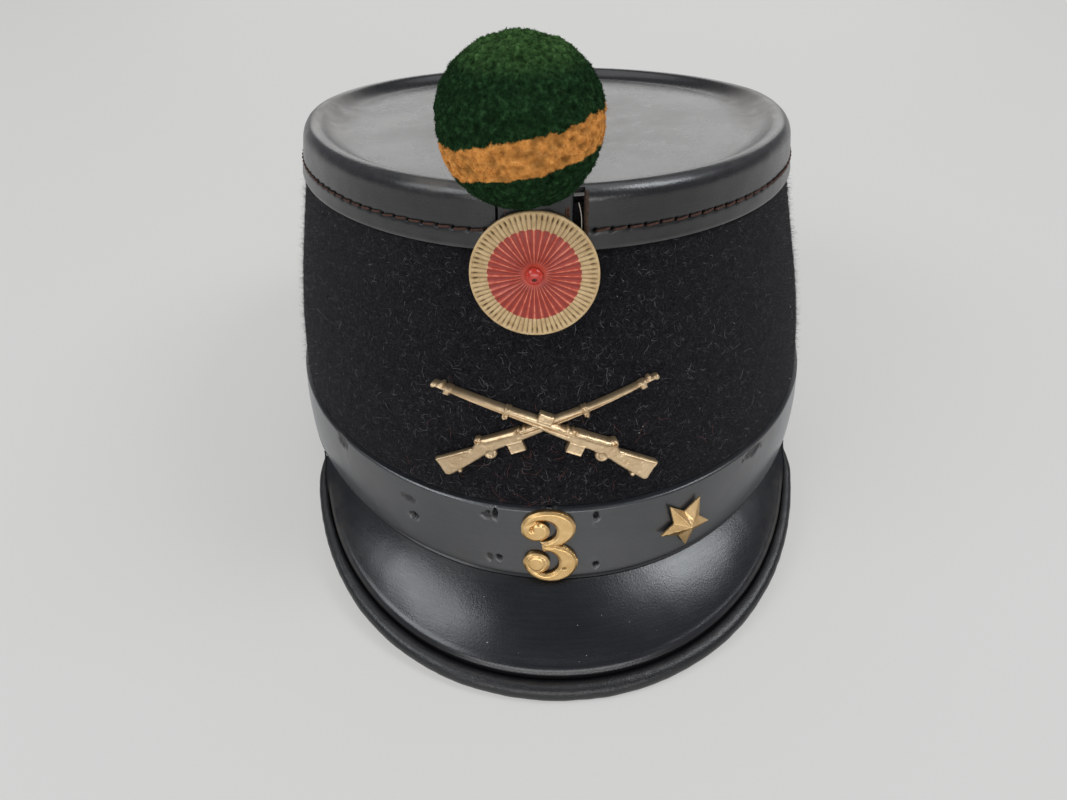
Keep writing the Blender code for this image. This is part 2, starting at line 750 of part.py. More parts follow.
# ---------------------------------------------------------------------------------------------
# Numeral: two bowls and two ball ends, in millimetres.

Bowl = namedtuple("Bowl", "cx cy rx ry hole_x hole_y hole_rx hole_ry start end")
NUMERAL_BOWLS = [
    Bowl(-0.2, 5.5, 7.4, 5.6, -1.8, 4.8, 3.9, 3.3, -105.0, 176.0),
    Bowl(0.35, -5.3, 7.5, 5.8, -0.9, -5.1, 3.7, 3.6, -176.0, 100.0),
]
Ball = namedtuple("Ball", "cx cy radius")
NUMERAL_BALLS = [Ball(-3.7, 5.0, 3.3), Ball(-3.7, -5.2, 3.4)]
NUMERAL_THICK = 1.7
NUMERAL_BEVEL = 0.5


def bowl_outline(bowl, inset, steps=14):
    """Crescent between two ellipses, drawn in by inset."""
    outer, inner = [], []
    for n in range(steps + 1):
        angle = math.radians(bowl.start + (bowl.end - bowl.start) * n / steps)
        c, s = math.cos(angle), math.sin(angle)
        outer.append((bowl.cx + (bowl.rx - inset) * c, bowl.cy + (bowl.ry - inset) * s))
        inner.append((bowl.hole_x + (bowl.hole_rx + inset) * c, bowl.hole_y + (bowl.hole_ry + inset) * s))
    return outer + inner[::-1]


def numeral_badge():
    heights = ((0.0, 0.0), (NUMERAL_THICK - NUMERAL_BEVEL, 0.0), (NUMERAL_THICK, NUMERAL_BEVEL))
    solids = []
    for bowl in NUMERAL_BOWLS:
        rings = [[Vector((x, y, out)) * MM for x, y in bowl_outline(bowl, inset)] for out, inset in heights]
        solids.append(prism(rings))
    for ball in NUMERAL_BALLS:
        rings = []
        for out, inset in ((0.15, 0.0), *((out + 0.2, inset) for out, inset in heights[1:])):
            radius = ball.radius - inset
            rings.append([
                Vector((ball.cx + radius * math.cos(a), ball.cy + radius * math.sin(a), out)) * MM
                for a in (2.0 * math.pi * (k + 0.5) / 16 for k in range(16))
            ])
        solids.append(prism(rings))
    badge = union("numeral_badge", solids, "brass")
    slice_and_bend(badge, bend_to_front(NUMERAL_X, NUMERAL_UP, BAND_PROUD + FIT_GAP), 50.0 * MM, 0.0)
    return badge


# Star: hand-cut outline, point and notch by turns, and the height of its facets' apex, in millimetres.
STAR_OUTLINE = [
    (5.5, 6.0), (-0.1, 3.2), (-5.0, 6.7), (-4.0, 0.5), (-8.7, -1.8),
    (-2.7, -4.1), (-0.5, -8.3), (2.6, -4.4), (8.3, -3.5), (4.9, -0.3),
]
STAR_APEX = (0.3, -1.2, 3.2)
STAR_EDGE = 0.5


def star_badge():
    """Five-pointed domed star; its facets run from the apex to the points."""
    frame = front_frame(STAR_X, STAR_UP, BAND_PROUD + FIT_GAP + 0.5 * MM)
    rims = [[frame @ (Vector((x, y, height)) * MM) for x, y in STAR_OUTLINE] for height in (0.0, STAR_EDGE)]
    verts = rims[0] + rims[1] + [frame @ (Vector(STAR_APEX) * MM)]
    faces = [tuple(range(10))]
    for k in range(10):
        k2 = (k + 1) % 10
        faces.append((k, k2, 10 + k2, 10 + k))
        faces.append((10 + k, 10 + k2, 20))
    return finish_mesh("star_badge", verts, faces, "brass", 5.0)


# ---------------------------------------------------------------------------------------------
# Rest pose.


def settle(pieces):
    """Tips the hat back on an empty, and presses what would sink below z = 0 flat."""
    pose = bpy.data.objects.new("rest_pose", None)
    bpy.context.collection.objects.link(pose)
    pose.rotation_euler = (REST_PITCH, 0.0, 0.0)
    pose.location = REST_PLACE
    tip = Matrix.Translation(REST_PLACE) @ Matrix.Rotation(REST_PITCH, 4, "X")
    back = tip.inverted()
    for piece in pieces:
        for vert in piece.data.vertices:
            world = tip @ vert.co
            if world.z < 0.0:
                vert.co = back @ Vector((world.x, world.y, 0.0))
    for piece in bpy.data.objects:
        if piece.type == "MESH":
            piece.parent = pose


def main():
    clear_scene()
    makers = (
        crown_felt, top_cap, base_band, peak, peak_bead, pompom_tab, pompom, pompom_stem,
        cockade, cockade_rivet, rifles_badge, numeral_badge, star_badge,
    )
    settle([maker() for maker in makers])


main()
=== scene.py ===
import math
from collections import namedtuple

import bmesh
import bpy
import numpy as np
from mathutils import Matrix, Vector


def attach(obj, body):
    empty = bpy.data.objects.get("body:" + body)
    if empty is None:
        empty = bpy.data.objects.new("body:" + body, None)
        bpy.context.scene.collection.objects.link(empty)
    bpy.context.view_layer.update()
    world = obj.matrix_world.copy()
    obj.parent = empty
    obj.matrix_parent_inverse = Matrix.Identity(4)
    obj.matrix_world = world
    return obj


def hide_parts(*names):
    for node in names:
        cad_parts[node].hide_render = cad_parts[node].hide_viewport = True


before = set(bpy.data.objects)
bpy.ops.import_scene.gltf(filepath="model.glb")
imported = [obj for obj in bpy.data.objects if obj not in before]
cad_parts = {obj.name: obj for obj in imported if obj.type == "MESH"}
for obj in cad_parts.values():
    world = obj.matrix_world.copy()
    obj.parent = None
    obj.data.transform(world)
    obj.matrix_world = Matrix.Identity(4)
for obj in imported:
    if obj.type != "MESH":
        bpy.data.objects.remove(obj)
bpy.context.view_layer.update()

MM = 0.001

# The hat's own frame and its rest pose: origin in the middle of the band's lower edge, +Z up, -Y to the front.
REST_PITCH = math.radians(-7.145)
REST_PLACE = Vector((-0.1, 14.2, 11.60)) * MM
TIP = Matrix.Translation(REST_PLACE) @ Matrix.Rotation(REST_PITCH, 4, "X")

# Crown.
BASE_HALF_WIDTH = 85.6 * MM
BASE_HALF_LENGTH = 100.8 * MM
CROWN_HEIGHT = 100.5 * MM
Side = namedtuple("Side", "top_half bulge bulge_drop")
LEFT = Side(72.5 * MM, 4.8 * MM, 1.2 * MM)
RIGHT = Side(77.3 * MM, 4.6 * MM, 2.1 * MM)
FRONT = Side(85.7 * MM, -3.0 * MM, 0.0)
REAR = Side(77.1 * MM, -3.0 * MM, 0.0)
BULGE_DROP_GAIN = 10.4
WIDEST_BASE = 5.1 * MM
WIDEST_TOP = 9.3 * MM
BASE_FLARE = 2.9 * MM
FLARE_LEVEL = 0.25
FLARE_TURN = math.radians(75.0)
FLARE_POWER = 14
TOP_LEAN = math.radians(-2.9)
TOP_SHIFT = -3.6 * MM
OVAL_SKEW = math.radians(2.6)
FRONT_DIP = 5.1 * MM
FRONT_RISE = CROWN_HEIGHT + FRONT_DIP - BASE_HALF_LENGTH * TOP_LEAN
FIT_GAP = 0.3 * MM
FELT_INNER = -3.0 * MM
FELT_MARGIN = 0.005
BAND_LEVEL = 0.20
BAND_PROUD = 1.0 * MM
BAND_THICK = 2.0 * MM
BAND_EDGE = 0.5 * MM
BAND_FRONT_TURN = 0.95

# Cap. Its columns are closest at the front; the notch for the tab takes the first of them.
SKIRT_LEVEL = 0.86
SKIRT_PROUD = 1.3 * MM
CAP_THICK = 1.6 * MM
RIM_RADIUS = 3.5 * MM
RIM_END = 50.0
RIM_BASE = 1.0 - RIM_RADIUS / CROWN_HEIGHT
PLATE_SINK = 3.4 * MM
PLATE_SAG = 1.6 * MM
PLATE_INSET = 11.0 * MM
EDGE_ROWS = 3
SKIRT_ROWS = 26
RIM_ROWS = 20
NOTCH_COLUMNS = 24
COLUMN_CROWDING = 0.55
NOTCH_LEFT = -12.4 * MM
NOTCH_RIGHT = 8.7 * MM
NOTCH_DEPTH = 0.45 * MM
SKIRT_RADIUS = 78.0 * MM
STITCH_LEVEL = 0.905
STITCH_PITCH = 4.3 * MM
STITCH_GAP = 0.12
THREAD_RADIUS = 0.30 * MM

# Peak.
PEAK_LENGTH = 33.3 * MM
PEAK_SLOPE = math.radians(40.0)
PEAK_CAMBER = 1.8 * MM
PEAK_THICK = 2.4 * MM
PEAK_REACH = math.radians(64.0)
PEAK_END = math.radians(62.5)
PEAK_SKEW = math.radians(-1.3)
PEAK_SQUARENESS = 2.26
PEAK_LEAST = 0.4 * MM
PEAK_FLANGE = 3.0 * MM
PEAK_UNDER_BEAD = 0.8 * MM
BEAD_RADIUS = 2.8 * MM
BEAD_TIP_RADIUS = 1.0 * MM
BEAD_END = math.radians(63.6)

# Front furniture, as distances across and up the crown's front.
TAB_LEFT = -12.0 * MM
TAB_WIDTH = 17.8 * MM
TAB_TOP = 0.985
TAB_THICK = 1.0 * MM
TAB_SEAT = SKIRT_PROUD - CAP_THICK
STEM_RADIUS = 0.9 * MM
COCKADE_X = -3.3 * MM
COCKADE_UP = 90.5 * MM
COCKADE_RADIUS = 15.6 * MM
COCKADE_RED = 0.72
COCKADE_FLUTES = 36
COCKADE_PROUD = TAB_SEAT + 2.0 * STEM_RADIUS + FIT_GAP + TAB_THICK + FIT_GAP
BOSS_RADIUS = 2.1 * MM
SHANK_RADIUS = 0.9 * MM
POMPOM_RADIUS = 18.1 * MM
POMPOM_TOP = 16.6 * MM
POMPOM_BOTTOM = 19.4 * MM
POMPOM_CENTRE = np.array((-5.86, -92.6, 122.85)) * MM
POMPOM_SQUARENESS = 2.2
BELT_NORMAL = np.array((-0.192, 0.020, 0.981))
BELT_MIDDLE = -0.262
BELT_HALF = 0.207
BADGE_X = -0.6 * MM
BADGE_UP = 47.9 * MM
BADGE_BEND = 0.6
NUMERAL_X = 0.3 * MM
NUMERAL_UP = 11.4 * MM
STAR_X = 39.6 * MM
STAR_UP = 11.2 * MM


def by_detail(full):
    """The value for a finished render, returned as it is."""
    return full


# --- Smooth noise on arrays of points.


def lattice(cell, seed):
    key = cell[..., 0] * 73856093 ^ cell[..., 1] * 19349663 ^ cell[..., 2] * 83492791 ^ seed * 2654435761
    key = ((key ^ (key >> 13)) & 0xFFFFFFFF) * 1274126177 & 0xFFFFFFFF
    key = (key ^ (key >> 16)) & 0xFFFFFF
    return key / 8388607.5 - 1.0


def lumps(points, size, seed):
    """Noise from -1 to 1 whose lumps are about size across."""
    place = np.asarray(points, float) / size
    cell = np.floor(place).astype(np.int64)
    share = place - cell
    share = share * share * (3.0 - 2.0 * share)
    total = np.zeros(place.shape[:-1])
    for corner in range(8):
        step = np.array((corner & 1, corner >> 1 & 1, corner >> 2 & 1))
        weight = np.where(step == 1, share, 1.0 - share).prod(axis=-1)
        total += weight * lattice(cell + step, seed)
    return total


def uneven(points, *layers):
    """Sum of noises, each given as height, size and seed, in millimetres."""
    return sum(height * MM * lumps(points, size * MM, seed) for height, size, seed in layers)


def unit(vectors):
    return vectors / np.maximum(np.linalg.norm(vectors, axis=-1, keepdims=True), 1e-12)


def rise(low, high, value):
    """Smooth step from 0 at low to 1 at high."""
    share = np.clip((value - low) / (high - low), 0.0, 1.0)
    return share * share * (3.0 - 2.0 * share)


def fade(low, high, value):
    return 1.0 - rise(low, high, value)


def ridge(value, half):
    """Soft hill round 0."""
    return np.exp(-((value / half) ** 2))


def between(value, low, high, soft=0.4):
    return rise(low - soft, low + soft, value) * fade(high - soft, high + soft, value)


def circle(count, start=0.0):
    """Angles of even steps round a circle."""
    return 2.0 * np.pi * (np.arange(count) + start) / count


def together(*values):
    """Numbers or arrays as arrays of one shape."""
    return np.broadcast_arrays(*(np.asarray(v, float) for v in values))


def along_each(vectors, lengths):
    """Each vector times its length."""
    return vectors * np.asarray(lengths)[..., None]


# --- The crown's surface: turn runs round the oval from the front (0) to the right, level up it.


def half_axis(side, base, level):
    swell = 4.0 * level * (1.0 - level)
    drop = BULGE_DROP_GAIN * level * (1.0 - level) * (1.0 - 2.0 * level)
    return base + (side.top_half - base) * level + side.bulge * swell + side.bulge_drop * drop


def skewed(x, y):
    c, s = math.cos(OVAL_SKEW), math.sin(OVAL_SKEW)
    return c * x - s * y, s * x + c * y


def crown(turn, level, proud=0.0, shrink=1.0):
    """Points of the crown in the hat's frame, for numbers or arrays."""
    turn, level, proud, shrink = together(turn, level, proud, shrink)
    across, along = np.sin(turn), -np.cos(turn)
    wide = np.where(across >= 0.0, *(half_axis(side, BASE_HALF_WIDTH, level) for side in (RIGHT, LEFT)))
    deep = np.where(along < 0.0, *(half_axis(side, BASE_HALF_LENGTH, level) for side in (FRONT, REAR)))
    back = WIDEST_BASE + (WIDEST_TOP - WIDEST_BASE) * level
    toward = np.maximum(0.0, np.abs(across) * math.sin(FLARE_TURN) - along * math.cos(FLARE_TURN))
    flare = BASE_FLARE * np.maximum(0.0, 1.0 - level / FLARE_LEVEL) * toward**FLARE_POWER
    x = (wide + flare + proud) * across * shrink
    y = (deep + np.where(along < 0.0, back, -back) + proud) * along * shrink + back
    z = np.where(along < 0.0, -FRONT_DIP * (1.0 - level) * along * along, 0.0)
    lean = TOP_LEAN * level
    y, z = y * np.cos(lean) - z * np.sin(lean), y * np.sin(lean) + z * np.cos(lean)
    x, y = skewed(x, y)
    return np.stack((x + TOP_SHIFT * level, y, z + CROWN_HEIGHT * level), -1)


def turn_at(x, level, proud=0.0):
    """Turn of the points on the crown's front that lie x from the middle, by Newton's method."""
    turn = np.zeros(np.broadcast(x, level).shape)
    step = 1e-4
    for _ in range(8):
        here = crown(turn, level, proud)[..., 0]
        slope = (crown(turn + step, level, proud)[..., 0] - here) / step
        turn = turn + (x - here) / slope
    return turn


def above(x, level, proud):
    """Points x from the middle of the crown's front."""
    return crown(turn_at(x, level, proud), level, proud)


def front(x, up, proud):
    """Points x across and up the crown's front, from the middle of the band's lower edge."""
    return above(x, np.asarray(up) / FRONT_RISE, proud)


def oval_normal(turn):
    turn = np.asarray(turn, float)
    out = unit(np.stack((np.sin(turn) / BASE_HALF_WIDTH, -np.cos(turn) / BASE_HALF_LENGTH, 0.0 * turn), -1))
    return np.stack((*skewed(out[..., 0], out[..., 1]), out[..., 2]), -1)


def front_frame(x, up, proud):
    """(origin, across, upward, out) of the frame on the crown's front."""
    step = 0.5 * MM
    across = unit(front(x + step, up, proud) - front(x - step, up, proud))
    upward = unit(front(x, up + step, proud) - front(x, up - step, proud))
    out = unit(np.cross(across, upward))
    return front(x, up, proud), across, np.cross(out, across), out


def in_frame(where, x, y, z):
    """Points of a frame's coordinates in the hat's frame."""
    origin, across, upward, out = where
    return origin + along_each(across, x) + along_each(upward, y) + along_each(out, z)


def polar_in_frame(where, radius, angle, z):
    return in_frame(where, radius * np.cos(angle), radius * np.sin(angle), z)


# --- Faces and meshes.


def quads(rows, columns, wrap=True):
    row = np.arange(rows - 1)[:, None] * columns
    column = np.arange(columns if wrap else columns - 1)
    here, after = row + column, row + (column + 1) % columns
    return np.stack((here, after, after + columns, here + columns), -1).reshape(-1, 4)


def hoop(rows, columns):
    """Faces of a grid that closes on itself both ways."""
    first = np.arange(columns)
    last = first + (rows - 1) * columns
    return [quads(rows, columns), np.stack((last, np.roll(last, -1), np.roll(first, -1), first), -1)]


def capped(rows, columns):
    """Faces of a tube with one face over each end."""
    first = np.arange(columns)
    return [quads(rows, columns), np.array((first, first[::-1] + (rows - 1) * columns))]


def wall(a, b, under):
    """Quads from the edges a to b down to their copies on the underside, that many verts further on."""
    return np.stack((a, b, b + under, a + under), -1)


def build(name, verts, faces, slot, look, replaces=(), outward=True, sharp=None, **attributes):
    """Piece from points in the hat's frame and a list of face arrays, tipped to the rest pose."""
    tip = np.array(TIP)
    world = np.asarray(verts, float).reshape(-1, 3) @ tip[:3, :3].T + tip[:3, 3]
    world[:, 2] = np.maximum(world[:, 2], 0.0)
    mesh = bpy.data.meshes.new(name)
    mesh.vertices.add(len(world))
    mesh.vertices.foreach_set("co", world.astype(np.float32).ravel())
    corners = np.concatenate([np.asarray(f).ravel() for f in faces]).astype(np.int32)
    sizes = np.concatenate([np.full(len(f), np.asarray(f).shape[1]) for f in faces])
    mesh.loops.add(len(corners))
    mesh.loops.foreach_set("vertex_index", corners)
    mesh.polygons.add(len(sizes))
    mesh.polygons.foreach_set("loop_start", np.concatenate(([0], np.cumsum(sizes)[:-1])).astype(np.int32))
    mesh.update(calc_edges=True)
    mesh.validate()
    for key, values in attributes.items():
        made = mesh.attributes.new(key, "FLOAT", "POINT")
        made.data.foreach_set("value", np.asarray(values, np.float32).ravel())
    if outward:
        work = bmesh.new()
        work.from_mesh(mesh)
        bmesh.ops.recalc_face_normals(work, faces=work.faces)
        work.to_mesh(mesh)
        work.free()
    mesh.shade_smooth()
    mesh.materials.append(look)
    piece = bpy.data.objects.new(name, mesh)
    bpy.context.scene.collection.objects.link(piece)
    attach(piece, "root")
    if replaces:
        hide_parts(*replaces)
    if sharp:
        mesh.set_sharp_from_angle(angle=math.radians(sharp))


def over(shape, **values):
    """Attributes spread over a grid of that shape."""
    return {key: np.broadcast_to(value, shape) for key, value in values.items()}


def tubes(paths, radius, sides=6):
    """Verts and faces of tubes along paths, an array of (tube, point, 3)."""
    paths = np.asarray(paths)
    count, steps = paths.shape[:2]
    along = unit(np.gradient(paths, axis=1))
    helper = np.where(np.abs(along[..., 2:3]) < 0.9, np.array((0.0, 0.0, 1.0)), np.array((1.0, 0.0, 0.0)))
    side = unit(np.cross(along, helper))
    up = np.cross(side, along)
    angle = circle(sides)[:, None]
    taper = np.ones(steps)
    taper[0] = taper[-1] = 0.35
    ring = side[:, :, None] * np.cos(angle) + up[:, :, None] * np.sin(angle)
    verts = paths[:, :, None] + ring * (radius * taper)[None, :, None, None]
    start = (np.arange(count) * steps * sides)[:, None, None]
    return verts.reshape(-1, 3), [(face + start).reshape(-1, face.shape[1]) for face in capped(steps, sides)]


def ribbons(points, sideways, width):
    """Strips through points, an array of (strip, point, 3), that narrow to a tip."""
    count, steps = points.shape[:2]
    taper = np.linspace(1.0, 0.55, steps - 1)[:, None]
    half = along_each(sideways, 0.5 * width)
    left = points[:, :-1] - half[:, None] * taper
    right = points[:, :-1] + half[:, None] * taper
    verts = np.concatenate((np.stack((left, right), 2).reshape(count, -1, 3), points[:, -1:]), 1)
    size = 2 * (steps - 1) + 1
    start = (np.arange(count) * size)[:, None]
    faces = [start + 2 * n + np.array((0, 1, 3, 2)) for n in range(steps - 2)]
    return verts.reshape(-1, 3), [np.concatenate(faces), start + np.array((size - 3, size - 2, size - 1))], size


def blades(roots, first, second, length, width):
    """Verts and faces of bent, tapered strips: first and second are the directions of their two halves."""
    half = along_each(unit(np.cross(first, second + 0.13 * np.roll(first, 1, axis=-1))), 0.5 * width)
    mid = roots + along_each(unit(first), 0.5 * length)
    tip = mid + along_each(unit(second), 0.5 * length)
    verts = np.stack((roots - half, roots + half, mid + 0.8 * half, mid - 0.8 * half, tip), 1).reshape(-1, 3)
    start = (np.arange(len(roots)) * 5)[:, None]
    return verts, [start + np.array((0, 1, 2, 3)), start + np.array((3, 2, 4))]


# --- Materials.


class Look:
    """A material's node tree, with short names for its usual nodes."""

    def __init__(self, name):
        self.material = bpy.data.materials.new(name)
        self.material.use_nodes = True
        self.tree = self.material.node_tree
        self.place = self.node("TexCoord").outputs["Object"]

    def put(self, socket, value):
        if isinstance(value, bpy.types.NodeSocket):
            self.tree.links.new(value, socket)
        elif value is not None:
            socket.default_value = value

    def fill(self, node, **inputs):
        for key, value in inputs.items():
            self.put(node.inputs[key.replace("_", " ")], value)
        return node

    def node(self, kind, **inputs):
        return self.fill(self.tree.nodes.new("ShaderNode" + kind), **inputs)

    def noise(self, scale, detail=4.0, rough=0.6, stretch=None, distortion=0.0, place=None):
        place = place or self.place
        if stretch:
            place = self.node("Mapping", Vector=place, Scale=stretch).outputs["Vector"]
        character = dict(Scale=scale, Detail=detail, Roughness=rough, Distortion=distortion)
        return self.node("TexNoise", Vector=place, **character).outputs["Fac"]

    def cells(self, scale):
        return self.node("TexVoronoi", Vector=self.place, Scale=scale).outputs["Distance"]

    def attribute(self, name):
        node = self.node("Attribute")
        node.attribute_name = name
        return node.outputs["Fac"]

    def run_noise(self, along, across):
        """Noise that follows the piece: u and v are metres along and across it."""
        u, v = self.times(self.attribute("u"), along), self.times(self.attribute("v"), across)
        return self.noise(1.0, 5.0, 0.65, place=self.node("CombineXYZ", X=u, Y=v).outputs["Vector"])

    def ramp(self, source, *stops):
        """Stops are (position, colour or grey)."""
        node = self.node("ValToRGB", Fac=source)
        elements = node.color_ramp.elements
        while len(elements) < len(stops):
            elements.new(0.5)
        for element, (position, colour) in zip(elements, stops):
            element.position = position
            colour = colour if isinstance(colour, tuple) else (colour,) * 3
            element.color = (*colour, 1.0)
        return node.outputs["Color"]

    def mix(self, share, first, second):
        node = self.node("Mix")
        node.data_type = "RGBA"
        for index, value in ((0, share), (6, first), (7, second)):
            self.put(node.inputs[index], (*value, 1.0) if isinstance(value, tuple) else value)
        return node.outputs[2]

    def maths(self, operation, first, second=0.0, clamp=False):
        node = self.node("Math")
        node.operation = operation
        node.use_clamp = clamp
        self.put(node.inputs[0], first)
        self.put(node.inputs[1], second)
        return node.outputs[0]

    def times(self, first, second, clamp=False):
        return self.maths("MULTIPLY", first, second, clamp)

    def plus(self, first, second, clamp=False):
        return self.maths("ADD", first, second, clamp)

    def span(self, source, low, high, to_low=0.0, to_high=1.0):
        node = self.node("MapRange", Value=source, From_Min=low, From_Max=high, To_Min=to_low, To_Max=to_high)
        return node.outputs["Result"]

    def bump(self, height, distance, strength, after=None):
        """Bump whose distance is in millimetres."""
        node = self.node("Bump", Height=height, Distance=distance * MM, Strength=strength, Normal=after)
        return node.outputs["Normal"]

    def finish(self, colour, roughness, normal=None, **sockets):
        shader = self.tree.nodes["Principled BSDF"]
        self.fill(shader, Base_Color=colour, Roughness=roughness, Normal=normal, **sockets)
        return self.material


def felt_look():
    look = Look("felt_black")
    mottle = look.noise(330.0, 6.0, 0.7)
    fibre = look.noise(1500.0, 4.0, 0.75, distortion=0.8)
    dark = look.ramp(mottle, (0.35, (0.0030, 0.0030, 0.0042)), (0.70, (0.0150, 0.0145, 0.0180)))
    light = look.ramp(fibre, (0.46, (0.002, 0.002, 0.0028)), (0.74, (0.046, 0.044, 0.050)))
    colour = look.mix(0.55, dark, light)
    normal = look.bump(fibre, 0.40, 1.0, look.bump(mottle, 0.5, 0.7))
    return look.finish(colour, 0.95, normal, Sheen_Weight=0.05, Sheen_Roughness=0.45, Specular_IOR_Level=0.1)


def nap_look():
    """Fine fibres, from black to pale grey by a value per fibre: random, and raised as painted light on the fuzz
    at the crown's sides.
    """
    look = Look("felt_nap")
    shade = look.ramp(
        look.attribute("tint"), (0.0, (0.003, 0.003, 0.004)), (0.40, (0.014, 0.013, 0.016)),
        (0.72, (0.058, 0.055, 0.064)), (1.0, (0.17, 0.16, 0.17)),
    )
    speck = look.span(look.noise(900.0, 2.0), 0.3, 0.7, 0.0, 0.35)
    return look.finish(look.mix(speck, shade, (0.010, 0.009, 0.010)), 0.85, Specular_IOR_Level=0.2)


def leather_look(name, base, worn, rough, grain, brushing, scratch, shine, dusty=0.0, coat=0.0):
    """Black leather: grain, cloudy sheen, streaks and scratches, and dusty and worn patches; painted highlight
    lightens the streaks and some worn places, painted reflection some dusty ones, and painted shade darkens
    pits, holes and grooves.
    """
    look = Look(name)
    cloud = look.noise(45.0, 5.0, 0.6)
    blot = look.noise(240.0, 5.0, 0.65)
    pores = look.cells(1700.0)
    fine = look.noise(2600.0, 3.0, 0.6)
    hair = look.noise(120.0, 8.0, 0.85, stretch=(1.0, 7.0, 7.0), distortion=1.5)
    lines = look.ramp(hair, (0.60, 0.0), (0.655, 1.0), (0.69, 0.0))
    # Brushed streaks: real marks in roughness and bump; their lighter colour is a painted highlight.
    streaks = look.span(look.run_noise(60.0, 1400.0), 0.42, 0.70, 0.0, brushing)
    # The dust layer is real dust, plus painted reflection and sheen where the cap's plate and far sides use it.
    dust = look.times(look.attribute("dust"), look.span(blot, 0.34, 0.62, 0.15, 1.0), clamp=True)
    # The wear layer is real wear, plus a painted highlight on the cap's front crest and on the bead's top.
    wear = look.times(look.attribute("wear"), look.span(blot, 0.30, 0.60, 0.35, 1.0), clamp=True)
    brush = look.times(look.attribute("brush"), streaks, clamp=True)
    # Painted shade: the dark attribute blackens pits, holes and grooves, and through Metallic takes away their
    # diffuse light.
    pits = look.attribute("dark")
    colour = look.mix(look.span(cloud, 0.3, 0.75), base, worn)
    for share, layer in (
        (brush, tuple(2.2 * v for v in worn)), (look.times(lines, scratch), tuple(4.5 * v for v in worn)),
        (wear, (0.14, 0.14, 0.15)), (dust, (0.105, 0.092, 0.074)), (pits, (0.0010, 0.0010, 0.0012)),
    ):
        colour = look.mix(share, colour, layer)
    roughness = look.span(cloud, 0.25, 0.75, rough + 0.05, rough - 0.04)
    for source, gain in ((fine, 0.06), (brush, 0.15), (dust, 0.35), (pits, 0.5)):
        roughness = look.plus(roughness, look.times(source, gain), clamp=source is pits)
    normal = None
    layers = ((cloud, 0.25, 0.3), (brush, 0.03, 0.6), (fine, grain, 0.5), (pores, grain, 0.5))
    for height, distance, strength in layers:
        normal = look.bump(height, distance, strength, normal)
    return look.finish(
        colour, roughness, normal, Metallic=pits, Specular_IOR_Level=shine, Sheen_Weight=dusty,
        Sheen_Roughness=0.35, Sheen_Tint=(0.86, 0.93, 1.0, 1.0), Coat_Weight=coat, Coat_Roughness=0.22,
    )


def raw_leather_look():
    look = Look("leather_raw_edge")
    fuzz = look.noise(1500.0, 5.0, 0.7)
    colour = look.ramp(
        fuzz, (0.3, (0.020, 0.013, 0.010)), (0.62, (0.075, 0.042, 0.027)), (0.8, (0.15, 0.095, 0.06))
    )
    return look.finish(colour, 0.9, look.bump(fuzz, 0.2, 0.8))


def thread_look():
    look = Look("thread_brown")
    ply = look.noise(2200.0, 2.0, 0.5, stretch=(1.0, 1.0, 2.0))
    colour = look.ramp(ply, (0.3, (0.028, 0.013, 0.009)), (0.7, (0.110, 0.048, 0.034)))
    return look.finish(colour, 0.75, look.bump(ply, 0.1, 0.7), Specular_IOR_Level=0.3)


def brass_look(name, low, high, rough, dark_share, metal, pitted):
    """Worn metal: cloudy tone, darker in hollows by the relief attribute, with fine marks."""
    look = Look(name)
    marks = look.noise(900.0, 6.0, 0.8, distortion=0.5)
    tone = look.mix(look.span(look.noise(260.0, 5.0, 0.65), 0.3, 0.7), low, high)
    hollow = look.span(look.attribute("relief"), 0.0, 1.0, dark_share, 0.0)
    tone = look.mix(hollow, tone, tuple(0.25 * v for v in low))
    rough_map = look.span(marks, 0.3, 0.8, rough - 0.08, rough + 0.14)
    return look.finish(tone, rough_map, look.bump(marks, pitted, 0.6), Metallic=metal)


def steel_look():
    look = Look("stem_steel")
    rust = look.noise(600.0, 5.0, 0.7)
    colour = look.ramp(rust, (0.35, (0.30, 0.29, 0.28)), (0.7, (0.11, 0.07, 0.05)))
    return look.finish(colour, look.span(rust, 0.3, 0.7, 0.3, 0.7), Metallic=0.9)


def wool_look(name):
    """Green wool with an orange belt whose edges are ragged; painted light makes its top lighter, and painted
    shade darkens its hollows and the tufts' roots.
    """
    look = Look(name)
    edge = look.attribute("belt")
    for raggedness in (look.noise(420.0, 3.0, 0.7), look.noise(130.0, 2.0, 0.5)):
        edge = look.plus(edge, look.span(raggedness, 0.25, 0.75, -0.035, 0.035))
    inside = look.span(look.maths("ABSOLUTE", edge), BELT_HALF - 0.012, BELT_HALF + 0.012, 1.0, 0.0)
    clump = look.noise(900.0, 4.0, 0.6)
    deep = look.ramp(
        clump, (0.32, (0.004, 0.014, 0.005)), (0.55, (0.013, 0.038, 0.014)), (0.75, (0.036, 0.090, 0.034))
    )
    # Painted light: a lit copy of the green, blended in towards the top of the ball by the high attribute.
    lit = look.ramp(clump, (0.32, (0.016, 0.046, 0.012)), (0.72, (0.085, 0.180, 0.055)))
    green = look.mix(look.span(look.attribute("high"), 0.55, 1.0, 0.0, 0.85), deep, lit)
    orange = look.ramp(
        clump, (0.28, (0.54, 0.205, 0.045)), (0.60, (0.72, 0.315, 0.080)), (0.80, (0.84, 0.44, 0.15))
    )
    colour = look.mix(inside, green, orange)
    straw = look.times(look.ramp(look.noise(230.0, 5.0, 0.8), (0.66, 0.0), (0.72, 1.0)), 0.6)
    colour = look.mix(straw, colour, (0.16, 0.10, 0.030))
    # Painted shade: low tint values darken the wool, in the hollows between locks and at the tufts' roots.
    shade = look.span(look.attribute("tint"), 0.0, 1.0, 0.60, 0.0)
    return look.finish(look.mix(shade, colour, (0.004, 0.010, 0.004)), 0.95, Specular_IOR_Level=0.02)


